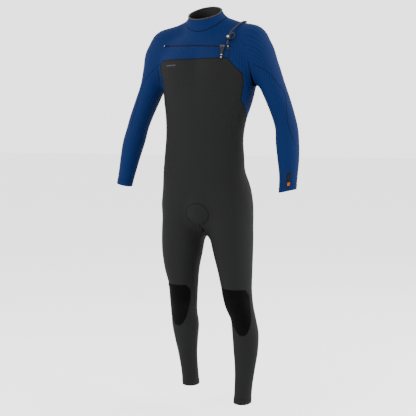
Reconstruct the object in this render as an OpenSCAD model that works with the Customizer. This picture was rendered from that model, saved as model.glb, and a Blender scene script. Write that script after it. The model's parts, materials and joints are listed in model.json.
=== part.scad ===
// Full-length wetsuit with a chest zip, drawn as it stands on a wearer's body.
// +X is the wearer's left, -Y the front, +Z up; the origin is between the tops of the shoulders.

/* [Overall size] */
// Drop from the tops of the shoulders to the left ankle hem
suit_drop = 1408; // [1160:1:1700]
// Breadth of the chest below the armpits
chest_w = 368; // [300:1:445]

/* [Fabric] */
// Thickness of the foam fabric
fabric_t = 4; // [3:0.5:5]
// Gap left between neighbouring panels where the seam glue sits
seam_gap = 0.8; // [0.5:0.1:1.2]
// Thickness of the soft lining at the neck
lining_t = 1.5; // [1:0.1:2]
// Thickness of the pads on the knees
pad_t = 2; // [1:0.1:3]
// Depth of the wrist cuffs and ankle hems
hem_w = 22; // [15:1:30]
// Depth of the binding on the collar's rim
binding_w = 4; // [3:0.5:6]

/* [Zip] */
// Radius of the curve that the zip follows round the chest
zip_r = 400; // [330:5:480]
// Width of each zip tape
tape_w = 12; // [8:1:16]
// Width of the two meshed coils together
coil_w = 4; // [3:0.5:6]
// Height that the coils stand out of the fabric
coil_h = 2.4; // [1.5:0.1:3]
// Length of the slider
slider_l = 16; // [12:1:22]
// Length of the webbing on the pull
strap_l = 44; // [25:1:60]
// Width of the webbing on the pull
strap_w = 13; // [8:1:16]
// Radius of the pull's hinge bar
bar_r = 1.2; // [0.8:0.1:1.6]

/* [Drawcord] */
// Diameter of the drawcord
cord_d = 5; // [3:0.5:5.5]
// Outside diameter of the cord lock
lock_d = 15; // [12:0.5:20]
// Length of the cord lock along the cord
lock_l = 19; // [14:0.5:26]
// Depth left behind the cord lock's button for it to be pressed into
press = 2.5; // [1.5:0.1:3]
// Running clearance round pins and plungers
run_gap = 0.08; // [0.04:0.01:0.1]

/* [Hidden] */
kz = suit_drop / 1408; // heights against those of the pattern below
kg = chest_w / 368; // breadths and depths against those of the pattern below
half_gap = seam_gap / 2;

// A place and a set of half-sizes of the pattern, at the chosen size
function at(x, y, z) = [x * kg, y * kg, z * kz];
function side(s, p) = [s * p.x, p.y, p.z];

// Pattern tables, one row per height: height, centre x, centre y, half-width, depth in front and behind
TORSO = fit([
    [-40, 0, 14, 60, 50, 44], [-65, 0, 10, 125, 74, 70], [-100, 0, 5, 160, 92, 90],
    [-160, 4, 2, 178, 107, 101], [-220, 6, 0, 184, 112, 98], [-290, 2, -2, 175, 106, 90],
    [-360, -6, -4, 160, 99, 80], [-430, -12, -4, 155, 95, 76], [-500, -15, -2, 160, 95, 84],
    [-570, -18, 0, 164, 96, 95], [-640, -17, 2, 166, 94, 100], [-700, -11, 2, 160, 84, 92],
    [-745, -6, 2, 140, 62, 70], [-785, -2, 2, 90, 30, 34]]);
ARM_LEFT = fit([
    [-60, 190, 2, 20, 20, 20], [-90, 198, 2, 48, 48, 48], [-120, 208, 3, 56, 57, 58],
    [-150, 219, 4, 57, 60, 62], [-220, 249, 8, 50, 54, 56], [-290, 277, 14, 46, 50, 50],
    [-350, 297, 20, 43, 45, 46], [-390, 308, 20, 42, 44, 45], [-440, 314, 14, 43, 46, 44],
    [-500, 322, 2, 40, 41, 40], [-560, 328, -12, 34, 35, 34], [-620, 330, -26, 32, 30, 30],
    [-700, 336, -42, 32, 30, 30]]);
ARM_RIGHT = fit([
    [-60, -190, 2, 20, 20, 20], [-90, -198, 2, 48, 48, 48], [-120, -206, 2, 56, 57, 58],
    [-150, -212, 2, 57, 60, 62], [-220, -233, 0, 51, 54, 56], [-290, -262, -4, 48, 50, 50],
    [-350, -286, -10, 45, 45, 46], [-390, -298, -16, 43, 44, 45], [-440, -308, -26, 44, 46, 44],
    [-500, -316, -42, 39, 41, 40], [-560, -323, -56, 34, 35, 34], [-620, -331, -70, 31, 30, 30],
    [-700, -340, -86, 31, 30, 30]]);
LEG_LEFT = fit([
    [-580, 80, 0, 30, 30, 30], [-620, 82, 0, 56, 54, 60], [-670, 86, -2, 78, 76, 88],
    [-720, 94, -4, 84, 86, 92], [-790, 102, -8, 82, 86, 86], [-860, 112, -14, 74, 80, 78],
    [-930, 125, -24, 64, 70, 66], [-1000, 138, -36, 56, 60, 54], [-1050, 151, -44, 52, 56, 50],
    [-1100, 164, -40, 47, 48, 54], [-1160, 171, -36, 49, 44, 60], [-1220, 176, -44, 46, 40, 52],
    [-1290, 179, -58, 38, 34, 38], [-1350, 180, -72, 33, 35, 34], [-1460, 180, -90, 34, 41, 36]]);
LEG_RIGHT = fit([
    [-580, -90, 0, 30, 30, 30], [-620, -92, 0, 56, 54, 60], [-670, -96, 0, 78, 76, 88],
    [-720, -98, -2, 84, 86, 92], [-790, -100, -8, 84, 86, 86], [-860, -102, -14, 79, 80, 78],
    [-930, -100, -22, 67, 70, 66], [-1000, -91, -26, 55, 60, 54], [-1050, -92, -22, 52, 56, 50],
    [-1100, -99, -8, 50, 48, 54], [-1160, -104, 10, 53, 44, 60], [-1220, -108, 26, 46, 40, 52],
    [-1290, -110, 44, 38, 34, 38], [-1350, -109, 58, 34, 36, 34], [-1460, -108, 78, 34, 41, 36]]);

// A table at the chosen size, as one lookup list per column
function fit(rows) = [for (i = [1:5]) [for (r = rows) [r[0] * kz, r[i] * kg]]];

// ---- The form the suit takes: distance outside it, negative inside ----
function joined(a, b, k) = let (h = max(k - abs(a - b), 0) / k) min(a, b) - h * h * k / 4;
function all_joined(d, parts, i = 0) =
    i == len(parts) ? d : all_joined(joined(d, parts[i][0], parts[i][1] * kg), parts, i + 1);

function stack(p, t, n = 2) = let (
    top = t[0][0][0], low = t[0][len(t[0]) - 1][0],
    dx = p.x - lookup(p.z, t[0]), dy = p.y - lookup(p.z, t[1]),
    u = abs(dx) / lookup(p.z, t[2]), v = abs(dy) / lookup(p.z, t[dy < 0 ? 3 : 4]),
    d = norm([dx, dy]) * (1 - 1 / max(pow(pow(u, n) + pow(v, n), 1 / n), 0.001)),
    past = max(p.z - top, low - p.z))
    past > 0 ? norm([max(d, 0), past]) : d;
function bulb(p, c, r) = let (q = p - c)
    norm(q) * (1 - 1 / max(norm([q.x / r.x, q.y / r.y, q.z / r.z]), 0.001)) * 0.9;
function bone(p, a, b, ra, rb) = let (ab = b - a, t = min(1, max(0, ((p - a) * ab) / (ab * ab))))
    norm(p - a - t * ab) - (ra + (rb - ra) * t) * kg;

function arm_of(s) = s > 0 ? ARM_LEFT : ARM_RIGHT;
function leg_of(s) = s > 0 ? LEG_LEFT : LEG_RIGHT;
chest_form = function (p) let (q = [abs(p.x), p.y, p.z]) all_joined(stack(p, TORSO, 2.3), [
    [bone(q, at(36, 14, -20), at(170, 8, -62), 52, 45), 60],
    [bulb(q, at(180, 4, -106), at(68, 66, 74)), 50],
    [bulb(q, at(72, -62, -165), at(72, 46, 62)), 50],
    [bulb(p, at(0, -24, -92), at(132, 54, 50)), 46],
    [bulb(p, at(0, 36, -92), at(132, 50, 54)), 46],
    [bone(p, at(-4, 4, -40), at(-4, -26, 70), 64, 62), 34],
    [stack(p, arm_of(p.x)), 34]]);
hip_form = function (p) hips(p, joined(stack(p, LEG_LEFT, 2.1), stack(p, LEG_RIGHT, 2.1), 16 * kg));
left_leg_form = function (p) max(hips(p, stack(p, LEG_LEFT, 2.1)), seam_gap - p.x);
right_leg_form = function (p) max(hips(p, stack(p, LEG_RIGHT, 2.1)), seam_gap + p.x);
function hips(p, legs) = all_joined(stack(p, TORSO, 2.3), [
    [bulb([abs(p.x), p.y, p.z], at(70, 56, -640), at(78, 66, 86)), 50],
    [legs, 50],
    [bulb(p, at(-2, -66, -700), at(38, 36, 52)), 34]]);
arm_form = function (p) stack(p, arm_of(p.x));
form = function (p) p.z > -430 * kz ? chest_form(p) : hip_form(p);

// Where a line from o along d leaves a form
function leave(o, d, f, r = 15, n = 14) =
    n == 0 ? o + d * r : leave(o, d, f, r - 0.95 * f(o + d * r), n - 1);
function unit(v) = v / norm(v);
function toward(o, p, f) = leave(o, unit(p - o), f);
function outward(p, f) = let (c = f(p)) unit([f(p + [1, 0, 0]) - c, f(p + [0, 1, 0]) - c, f(p + [0, 0, 1]) - c]);
function mix(a, b, t) = a + (b - a) * t;

// ---- Fabric: a closed shell under a grid of points on the form ----
// Rows run down the body and columns run round it to the wearer's left, seen from outside.
function quad(a, b, c, d) = [[a, b, c], [a, c, d]];
module cloth(f, grid, ring = false, proud = 0, t = fabric_t) {
    rows = len(grid);
    cols = len(grid[0]);
    turns = ring ? cols : cols - 1;
    base = rows * cols;
    outs = [for (row = grid) [for (p = row) outward(p, f)]];
    skin = [for (i = [0:rows - 1]) for (j = [0:cols - 1]) grid[i][j] + proud * outs[i][j]];
    back = [for (i = [0:rows - 1]) for (j = [0:cols - 1]) grid[i][j] + (proud - t) * outs[i][j]];
    function at_(i, j) = i * cols + j % cols;
    faces = [
        for (i = [0:rows - 2]) for (j = [0:turns - 1]) each concat(
            quad(at_(i, j), at_(i, j + 1), at_(i + 1, j + 1), at_(i + 1, j)),
            quad(base + at_(i, j + 1), base + at_(i, j), base + at_(i + 1, j), base + at_(i + 1, j + 1))),
        for (j = [0:turns - 1]) each concat(
            quad(at_(0, j + 1), at_(0, j), base + at_(0, j), base + at_(0, j + 1)),
            quad(at_(rows - 1, j), at_(rows - 1, j + 1), base + at_(rows - 1, j + 1), base + at_(rows - 1, j))),
        for (i = [0:1:ring ? -1 : rows - 2]) each concat(
            quad(at_(i, 0), at_(i + 1, 0), base + at_(i + 1, 0), base + at_(i, 0)),
            quad(at_(i + 1, cols - 1), at_(i, cols - 1), base + at_(i, cols - 1), base + at_(i + 1, cols - 1)))];
    polyhedron(points = concat(skin, back), faces = faces);
}
function steps(a, b, n) = [for (i = [0:n]) mix(a, b, i / n)];

// ---- Charts: lines on the form that panels are cut along ----
// Level cut round the trunk: angle a from the front towards the wearer's left, height z of the pattern
function trunk(a, z) = let (h = z * kz, c = [lookup(h, TORSO[0]), lookup(h, TORSO[1]), h])
    leave(c, [sin(a), -cos(a), 0], form);
// Straight ahead (s = -1) or astern (s = 1) of a breadth x, at height z of the pattern
function facing(s, x, z) = leave(at(x, 6, z), [0, s, 0], chest_form);
// Collar: level 0 is the seam at its foot, which dips in front, and level 1 its rim
collar_rim = at(-4, -18, 38.5);
rim_tilt = 28;
collar_core = at(-4, 4, -75);
binding_v = binding_w / (58 * kz);
function collar_foot(a) = at(-4 + 68 * sin(a), 2 - 66 * cos(a), -14 - 25 * cos(a) + 16 * pow(sin(a), 2));
function rim_way(a) = [sin(a), -cos(a) * cos(rim_tilt), -cos(a) * sin(rim_tilt)];
function collar_at(a, v) =
    toward(mix(collar_core, collar_rim, v), mix(collar_foot(a), collar_rim + 66 * kg * rim_way(a), v), chest_form);
// Armhole: a nearly upright plane from the top of the shoulder to the armpit
armpit_left = at(197, 4, -238);
armpit_right = at(-187, 0, -246);
shoulder_top = at(175, 4, -20);
function armpit(s) = s > 0 ? armpit_left : armpit_right;
function armhole_lean(s) = let (d = side(s, shoulder_top) - armpit(s)) atan2(d.z, s * d.x);
// Ring v of the sleeve head: 0 is the armhole, 1 lies square across the upper arm
arm_lean = 22;
function head_lean(s, v) = mix(armhole_lean(s), arm_lean, v);
function head_centre(s, v) = let (l = head_lean(s, v)) armpit(s) + mix(110, 56, v) * kg * [s * cos(l), 0, sin(l)];
function head_ring(s, a, v) = let (l = head_lean(s, v))
    leave(head_centre(s, v), [s * sin(a) * cos(l), -cos(a), sin(a) * sin(l)], chest_form);
// Height of the armhole's plane breadth
function armhole_x(s, z) = mix(armpit(s).x, s * shoulder_top.x, (z * kz - armpit(s).z) / (shoulder_top.z - armpit(s).z));
// Ring round an arm whose centre is at height z
function arm_ring(s, a, z) = let (h = z * kz, t = arm_of(s), l = lookup(z, [[-400, 12], [-300, arm_lean]]),
    c = [lookup(h, t[0]), lookup(h, t[1]), h])
    leave(c, [s * sin(a) * cos(l), -cos(a), sin(a) * sin(l)], arm_form);
// Ring round a leg whose centre is at height z; the first ring lies along the crease of the groin
groin = at(0, 0, -746);
groin_lean = 36.5;
level_z = -850;
function leg_form(s) = s > 0 ? left_leg_form : right_leg_form;
function hip_z(s) = (groin.z + tan(groin_lean) * abs(lookup(-680 * kz, leg_of(s)[0]))) / kz;
function leg_ring(s, a, z) = let (h = z * kz, t = leg_of(s), l = lookup(z, [[level_z, 0], [hip_z(s), groin_lean]]),
    c = [lookup(h, t[0]), lookup(h, t[1]), h])
    leave(c, [s * sin(a) * cos(l), -cos(a), sin(a) * sin(l)], leg_form(s));
// Height of the crease of the groin and of the seat's fold at angle a round the trunk
function groin_z(a, z = -680, n = 3) = n == 0 ? z : groin_z(a, (groin.z + tan(groin_lean) * abs(trunk(a, z).x)) / kz, n - 1);

// Pattern heights of the seams
yoke_back_z = -88;
// Seam between neck flap and chest band, which the zip follows, at breadth x
function flap_z(x) = -90 - (x - 10) * tan(zip_tilt);
// Half of the slot left between them: the coils lie in it, and past the zip's ends it closes to a seam
function slot_half(x) = lookup(x, [[-168, half_gap], [-150, coil_w / 2 + 0.4], [121, coil_w / 2 + 0.4], [127, half_gap]]);
pit_z = -240;
flare_z = -286;
waist_z = -352;
seat_z = -560;
// Top corners of the front panel, cut off from the level edge down to the sides: breadth and height
corner_left = [[122, -138], [168, -194]];
corner_right = [[148, -138], [167, -160]];
panel_a = 68; // angle of the front panel's edge at the foot of its cut corner
// Angle of its edge from the armpit down to where it starts to flare
function side_a(s) = s > 0 ? 70 : 74;
back_a = 128; // angle at which the side panels meet the back
flap_a = 62; // angle at which the neck flap meets the shoulder panel on the collar
yoke_a = 118; // angle at which the shoulder panel meets the back yoke on the collar
// Pattern heights of the seams round the arms and legs
sleeve_z = -262;
elbow_top = -340;
elbow_low = -430;
cuff_z_left = -617;
cuff_z_right = -610;
thigh_top = -870;
knee_top = -1040;
knee_low = -1150;
hem_z_left = -1408;
hem_z_right = -1420;

blue = [0.03, 0.14, 0.35];
charcoal = [0.15, 0.15, 0.16];
black = [0.04, 0.04, 0.045];
steel = [0.7, 0.71, 0.73];
cord_grey = [0.22, 0.2, 0.19];
yellow = [0.85, 0.55, 0.1];

// ---- Neck ----
module collar() color(blue)
    cloth(chest_form, [for (v = steps(0.99 - binding_v, 0.02, 3)) [for (a = steps(0, 345, 23)) collar_at(a, v)]], ring = true);
module collar_binding() color(cord_grey)
    cloth(chest_form, [for (v = [1, 1 - binding_v]) [for (a = steps(0, 345, 23)) collar_at(a, v)]],
        ring = true, proud = 1, t = fabric_t + 2);
module neck_seal() color(black)
    cloth(chest_form, [for (v = steps(0.98 - binding_v, 0.1, 3)) [for (a = steps(0, 345, 23)) collar_at(a, v)]],
        ring = true, proud = -fabric_t - 1.2, t = lining_t);

// ---- Chest, shoulders and back ----
// Point between a collar seam point and a lower point, pressed onto the form
function pressed(a, b, v) = let (p = mix(a, b, v)) toward([p.x * 0.6, 8 * kg, -150 * kz], p, chest_form);
function gap_v(a, b) = half_gap / norm(a - b);
module between(tops, lows, n) {
    cloth(chest_form, [for (i = [0:n]) [for (j = [0:len(tops) - 1])
        let (g = gap_v(tops[j], lows[j])) pressed(tops[j], lows[j], mix(g, 1 - g, i / n))]]);
}
module neck_flap() color(blue)
    between([for (a = steps(0.5 - flap_a, flap_a - 0.5, 12)) collar_at(a, 0)],
        [for (u = steps(-0.995, 0.995, 12)) let (x = u * 182) facing(-1, x, flap_z(x) + slot_half(x) - half_gap)], 4);
module back_yoke() color(blue)
    between([for (a = steps(yoke_a + 0.5, 359.5 - yoke_a, 12)) collar_at(a, 0)],
        [for (u = steps(0.995, -0.995, 12)) facing(1, u * 182, yoke_back_z)], 4);
// The shoulder panel runs over the top from the neck flap to the back yoke, out to the armhole
module shoulder(s) color(blue) {
    angles = steps(flap_a + 0.5, yoke_a - 1.5, 6);
    ends = [facing(-1, s * 182, flap_z(s * 182) + 0.5), facing(1, s * 182, yoke_back_z + 0.5)];
    c = head_centre(s, 0);
    span = [for (e = ends) acos((c.y - e.y) / norm(e - c))];
    outer = [for (a = steps(span[0] + 0.8, span[1] - 2, 6)) head_ring(s, a, 0)];
    inner = [for (a = angles) collar_at(s * a, 0)];
    order = s > 0 ? [0:6] : [6:-1:0];
    between([for (i = order) inner[i]], [for (i = order) outer[i]], 5);
}
module shoulder_left() shoulder(1);
module shoulder_right() shoulder(-1);

// Seam between chest band and front panel: level, then down the cut corners to the armpits
function panel_top(x) = lookup(abs(x), x > 0 ? corner_left : corner_right);
function corner_x(x) = x > 0 ? corner_left[1][0] : corner_right[1][0];
function band_low(x) = abs(x) > corner_x(x) + 0.5 ? pit_z : panel_top(x);
module chest_band() color(blue) {
    xs = [-189, -178, -168, -167, -157, -148, -123, -94, -62, -30, 0, 30, 62, 94, 122, 137, 152, 168, 169, 179, 189];
    cloth(chest_form, [for (v = steps(0, 1, 4)) [for (x = xs) let (
        z = mix(flap_z(x) - slot_half(x), band_low(x) + 0.5, v),
        edge = abs(armhole_x(sign(x) == 0 ? 1 : sign(x), z)) / kg - 1)
        facing(-1, sign(x) * min(abs(x), edge), z)]]);
}
function panel_half(s, z) = lookup(z, [[waist_z, 90], [flare_z, side_a(s)], [pit_z, side_a(s)],
    [s > 0 ? corner_left[1][1] : corner_right[1][1], panel_a], [0, panel_a]]);
// Height of the panel's top at angle a
function top_at(a, z = -150, n = 4) = n == 0 ? z : top_at(a, panel_top(trunk(a, z).x / kg), n - 1);
module front_panel() color(charcoal) {
    us = [-1, -0.885, -0.74, -0.6, -0.45, -0.3, -0.15, 0, 0.15, 0.3, 0.45, 0.6, 0.72, 0.86, 1];
    cloth(form, [for (v = steps(0, 1, 10)) [for (u = us) let (
        z = mix(top_at(u * panel_a) - 0.5, waist_z + 0.5, v))
        trunk(u * (panel_half(u, z) - 0.5), z)]]);
}
module side_panel(s) color(blue) {
    n = 6;
    grid = [for (v = steps(0, 1, 5)) [for (w = steps(side_a(s) + 0.7, back_a - 0.3, n)) let (
        low = lookup(w, [[side_a(s), flare_z], [90, waist_z]]), z = mix(pit_z - 0.5, low + 0.5, v))
        trunk(s * w, z)]];
    cloth(form, [for (row = grid) [for (j = [0:n]) row[s > 0 ? j : n - j]]]);
}
module side_panel_left() side_panel(1);
module side_panel_right() side_panel(-1);
module upper_back() color(blue) {
    cloth(chest_form, [for (z = steps(yoke_back_z - 0.5, pit_z + 0.5, 6)) [for (u = steps(1, -1, 12))
        facing(1, u * (abs(armhole_x(u < 0 ? -1 : 1, z)) / kg - 1), z)]]);
}
module middle_back() color(blue)
    cloth(form, [for (z = steps(pit_z - 0.5, waist_z + 0.5, 4)) [for (a = steps(back_a + 0.3, 359.7 - back_a, 10))
        trunk(a, z)]]);
module waist_panel() color(charcoal)
    cloth(form, [for (v = steps(0, 1, 13)) [for (a = steps(-89.8, 89.8, 15))
        trunk(a, mix(waist_z - 0.5, groin_z(a) + 1, v))]]);
module lower_back() color(charcoal)
    cloth(form, [for (z = steps(waist_z - 0.5, seat_z + 0.5, 7)) [for (a = steps(90.2, 269.8, 15)) trunk(a, z)]]);
module seat_panel() color(charcoal)
    cloth(form, [for (v = steps(0, 1, 6)) [for (a = steps(90.2, 269.8, 15))
        trunk(a, mix(seat_z - 0.5, groin_z(a) + 1, v))]]);

// ---- Groin ----
module cup_panel() color(charcoal) {
    grid = [for (r = [0.06, 0.35, 0.6, 0.8, 1]) [for (a = steps(360, 15, 23))
        leave(at(-2 + 46 * r * sin(a), -20, -709 + 40 * r * cos(a)), [0, -1, 0], hip_form)]];
    cloth(hip_form, grid, ring = true, proud = pad_t + 2.1, t = pad_t);
}
module crotch_gusset() color(charcoal) {
    // Saddle between the legs, from the front crease under to the fold of the seat
    grid = [for (x = [-12, -4, 4, 12]) [for (a = steps(-34, 40, 8))
        leave(at(x, 4, -715), [0, sin(a), -cos(a)], hip_form)]];
    cloth(hip_form, [for (j = [8:-1:0]) [for (i = [0:3]) grid[i][j]]], proud = lining_t + 2.1, t = lining_t);
}

// ---- Sleeves ----
ring_a = steps(0, 337.5, 15);
module tube(f, rows) cloth(f, rows, ring = true);
function turned(s, row) = s > 0 ? row : [for (j = [len(row) - 1:-1:0]) row[j]];
module sleeve_head(s) color(blue)
    tube(chest_form, concat(
        [for (v = [0.01, 0.2, 0.4, 0.6, 0.8, 1]) turned(s, [for (a = ring_a) head_ring(s, a, v)])],
        [turned(s, [for (a = ring_a) arm_ring(s, a, sleeve_z + half_gap)])]));
module arm_tube(s, top, low, n, tone = blue, proud = 0, t = fabric_t) color(tone)
    cloth(arm_form, [for (z = steps(top - half_gap, low + half_gap, n)) turned(s, [for (a = ring_a) arm_ring(s, a, z)])],
        ring = true, proud = proud, t = t);
module sleeve_head_left() sleeve_head(1);
module sleeve_head_right() sleeve_head(-1);
module upper_sleeve_left() arm_tube(1, sleeve_z, elbow_top, 3);
module upper_sleeve_right() arm_tube(-1, sleeve_z, elbow_top, 3);
module elbow_left() arm_tube(1, elbow_top, elbow_low, 4);
module elbow_right() arm_tube(-1, elbow_top, elbow_low, 4);
module forearm_left() arm_tube(1, elbow_low, cuff_z_left + hem_w / kz, 6);
module forearm_right() arm_tube(-1, elbow_low, cuff_z_right + hem_w / kz, 6);
module wrist_cuff_left() arm_tube(1, cuff_z_left + hem_w / kz, cuff_z_left, 1, blue, 0.6, fabric_t + 0.6);
module wrist_cuff_right() arm_tube(-1, cuff_z_right + hem_w / kz, cuff_z_right, 1, blue, 0.6, fabric_t + 0.6);

// ---- Legs ----
module leg_tube(s, top, low, n, proud = 0, t = fabric_t, around = ring_a) color(charcoal)
    cloth(leg_form(s), [for (z = steps(top - half_gap, low + half_gap, n)) turned(s, [for (a = around) leg_ring(s, a, z)])],
        ring = true, proud = proud, t = t);
module hip_left() leg_tube(1, hip_z(1), thigh_top, 6, around = steps(0, 345, 23));
module hip_right() leg_tube(-1, hip_z(-1), thigh_top, 6, around = steps(0, 345, 23));
module thigh_left() leg_tube(1, thigh_top, knee_top, 6);
module thigh_right() leg_tube(-1, thigh_top, knee_top, 6);
module knee_left() leg_tube(1, knee_top, knee_low, 5);
module knee_right() leg_tube(-1, knee_top, knee_low, 5);
module shin_left() leg_tube(1, knee_low, hem_z_left + hem_w / kz, 8);
module shin_right() leg_tube(-1, knee_low, hem_z_right + hem_w / kz, 8);
module ankle_hem_left() leg_tube(1, hem_z_left + hem_w / kz, hem_z_left, 1, 1, fabric_t + 1);
module ankle_hem_right() leg_tube(-1, hem_z_right + hem_w / kz, hem_z_right, 1, 1, fabric_t + 1);
// Knee pad: half-width at each height, from its clipped top corners to its rounded foot
pad_outline = [[-1157, 8], [-1146, 24], [-1129, 36], [-1110, 43], [-1085, 48], [-1050, 51], [-1006, 51], [-985, 39]];
module knee_pad(s, turn) color(black) {
    grid = [for (z = steps(-985, -1156, 12)) [for (u = steps(-1, 1, 10)) let (
        h = z * kz, t = leg_of(s), c = [lookup(h, t[0]), lookup(h, t[1]), h],
        a = turn + u * asin(lookup(z, pad_outline) / 54) * 0.92)
        leave(c, [sin(a), -cos(a), 0], leg_form(s))]];
    cloth(leg_form(s), grid, proud = pad_t + 0.9, t = pad_t);
}
module knee_pad_left() knee_pad(1, 8);
module knee_pad_right() knee_pad(-1, -12);

// ---- Chest zip: everything turns about one upright axis behind the chest ----
zip_x = 10 * kg;
zip_y = -99 * kg + zip_r;
zip_z = -90 * kz;
zip_tilt = 3;
zip_from = -23.5; // angle of the closed end, on the wearer's right
zip_to = 16; // angle of the open end, on the wearer's left
slider_a = 13; // where the slider rests
module on_zip() translate([zip_x, zip_y, zip_z]) rotate([0, zip_tilt, 0]) children();
// Band of the zip's curve, from radius offset r0 to r1 and height z0 to z1, between two angles
module arc(r0, r1, z0, z1, a0 = zip_from, a1 = zip_to)
    rotate([0, 0, a0 - 90]) rotate_extrude(angle = a1 - a0, $fn = 360)
        translate([zip_r + r0, z0]) square([r1 - r0, z1 - z0]);
// Tape sewn flat to the inside of the fabric beside the coils, from height z0 to z1 above the seam
module tape(z0, z1) color(black) cloth(chest_form, [for (dz = steps(z0, z1, 1)) [for (x = steps(-146, 121, 16))
    facing(-1, x, flap_z(x) + dz)]], proud = -fabric_t - 1.2, t = 0.8);
module zip_tape_upper() tape(tape_w, 1);
module zip_tape_lower() tape(-1, -tape_w);
module zip_coils() color(black) on_zip() arc(-2.6, coil_h, -coil_w / 2, coil_w / 2, zip_from + 0.5, zip_to - 0.5);
module zip_end_stops() color(steel) on_zip() {
    arc(-2.6, coil_h + 0.6, -coil_w / 2, coil_w / 2, zip_from, zip_from + 0.45);
    arc(-2.6, coil_h + 0.6, -coil_w / 2, coil_w / 2, zip_to - 0.45, zip_to);
}
// Patch sewn on the fabric under the open end of the zip
module zip_garage() color(black) cloth(chest_form, [for (dz = [-coil_w / 2 - 1.5, -tape_w])
    [for (x = steps(113, 124, 3)) facing(-1, x * kg, flap_z(x * kg) + dz)]], proud = 2, t = 1.2);
// Slider: a plate over the coils with two lugs that hold the pull's bar
plate_r = coil_h + 0.5;
plate_t = 1.6;
lug_z = 3.2;
bar_off = plate_r + plate_t + bar_r + 0.4;
module at_slider() on_zip() rotate([0, 0, slider_a]) translate([0, -zip_r, 0]) children();
module zip_slider() color(steel) at_slider() {
    difference() {
        union() {
            translate([-slider_l / 2, -plate_r - plate_t, -coil_w / 2 - 1.4]) cube([slider_l, plate_t, coil_w + 2.8]);
            for (s = [-1, 1]) translate([s * (strap_w / 2 + 1.6) - 0.8, -bar_off - bar_r - 1, -lug_z])
                cube([1.6, bar_r * 2 + 1 + 0.4 + 1, 2 * lug_z]);
        }
        for (s = [-1, 1]) translate([s * (strap_w / 2 + 1.6), -bar_off, 0])
            rotate([0, 90, 0]) cylinder(r = bar_r + run_gap, h = 4, center = true, $fn = 48);
    }
}
// Pull ring: a bar in the slider's lugs with two side arms down to the webbing, which rests on the chest
ring_drop = 8;
pull_lean = 20;
wire = 1.6;
strap_t = 3.2;
module at_pull() at_slider() translate([0, -bar_off, 0]) rotate([-pull_lean, 0, 0]) children();
module pull_ring() color(steel) at_pull() {
    rotate([0, 90, 0]) cylinder(r = bar_r, h = strap_w + 4.8, center = true, $fn = 48);
    for (s = [-1, 1]) translate([s * (strap_w - wire) / 2, 0, -ring_drop / 2])
        cube([wire, wire, ring_drop], center = true);
    translate([0, 0, -ring_drop - wire / 2]) cube([strap_w, wire, wire], center = true);
}
// Webbing folded round the ring's lower bar, with a clearance of 0.1 mm round it
module pull_strap() color(black) at_pull() difference() {
    translate([-strap_w / 2, -strap_t / 2, -ring_drop - strap_l]) cube([strap_w, strap_t, strap_l + 1]);
    translate([0, 0, -ring_drop - wire / 2]) cube([strap_w + 2, wire + 0.2, wire + 0.2], center = true);
    for (s = [-1, 1]) translate([s * (strap_w - wire) / 2, 0, -ring_drop]) cube([wire + 0.2, wire + 0.2, 3], center = true);
}

// ---- Drawcord, cord lock and anchor ----
// Route of the cord up from the zip's end, through the lock and over the shoulder
cord_route = [for (p = [
    [118, -90, -88], [117, -86.5, -83], [117, -80.5, -74], [117, -74.5, -65], [117, -68.5, -56], [117, -62.5, -47],
    [119, -57.5, -40], [123.5, -52, -33], [129, -45, -25], [135, -34.5, -16], [140, -22, -8],
    [143.5, -9, -2], [146, 3, 0.5]]) at(p[0], p[1], p[2])];
function along(i) = let (n = len(cord_route) - 1)
    unit(cord_route[min(i + 1, n)] - cord_route[max(i - 1, 0)]);
module drawcord() color(cord_grey) {
    sides = 10;
    n = len(cord_route);
    ring = [for (i = [0:n - 1]) let (d = along(i), x = unit(cross(d, [1, 0, 0])), y = cross(d, x))
        for (k = [0:sides - 1]) cord_route[i] + cord_d / 2 * (cos(k * 360 / sides) * x + sin(k * 360 / sides) * y)];
    faces = [
        [for (k = [0:sides - 1]) k],
        [for (k = [sides - 1:-1:0]) (n - 1) * sides + k],
        for (i = [0:n - 2]) for (k = [0:sides - 1]) each quad(i * sides + k, (i + 1) * sides + k,
            (i + 1) * sides + (k + 1) % sides, i * sides + (k + 1) % sides)];
    polyhedron(points = ring, faces = faces);
}
module cord_anchor() color(black)
    translate(cord_route[len(cord_route) - 1] + [0, 4.8, -0.2]) rotate([8, 0, 0]) cube([16, 8, 7], center = true);
// The lock sits on the straight stretch; its axis follows the cord
lock_i = 3;
lock_dir = along(lock_i);
module at_lock() translate(cord_route[lock_i]) rotate([-acos(lock_dir.z), 0, 0]) children();
button_r = lock_d * 0.3;
button_h = 4;
button_seat = 1; // depth of the button in its hole at rest
hole_deep = button_seat + press + 0.5;
module cord_lock_body() color(black) at_lock() difference() {
    cylinder(d = lock_d, h = lock_l, center = true, $fn = 64);
    cylinder(d = cord_d + 1.2, h = lock_l + 2, center = true, $fn = 48);
    translate([0, -lock_d / 2, 0]) rotate([90, 0, 0])
        cylinder(r = button_r + run_gap, h = 2 * hole_deep, center = true, $fn = 48);
}
module cord_lock_button() color(steel) at_lock() translate([0, button_seat - lock_d / 2, 0]) rotate([90, 0, 0])
    cylinder(r = button_r, h = button_h, $fn = 48);
module cord_lock_spring() color(steel) at_lock() translate([0, hole_deep - 0.05 - lock_d / 2, 0]) rotate([90, 0, 0])
    difference() {
        cylinder(r = button_r - 1, h = press + 0.4, $fn = 32);
        translate([0, 0, -1]) cylinder(r = button_r - 2, h = press + 3, $fn = 32);
    }

// ---- Small trims ----
// Folded label sewn to the outside of the left forearm
module wrist_tag() color(black)
    cloth(arm_form, [for (z = steps(-553, -602, 3)) [for (a = steps(11, 31, 2)) arm_ring(1, a, z)]], proud = 2.5, t = 1.3);
module chest_mark() color(steel)
    cloth(chest_form, [for (z = [-158, -163]) [for (x = steps(-122, -78, 4)) facing(-1, x, z)]], proud = 0.9, t = 0.4);

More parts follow.
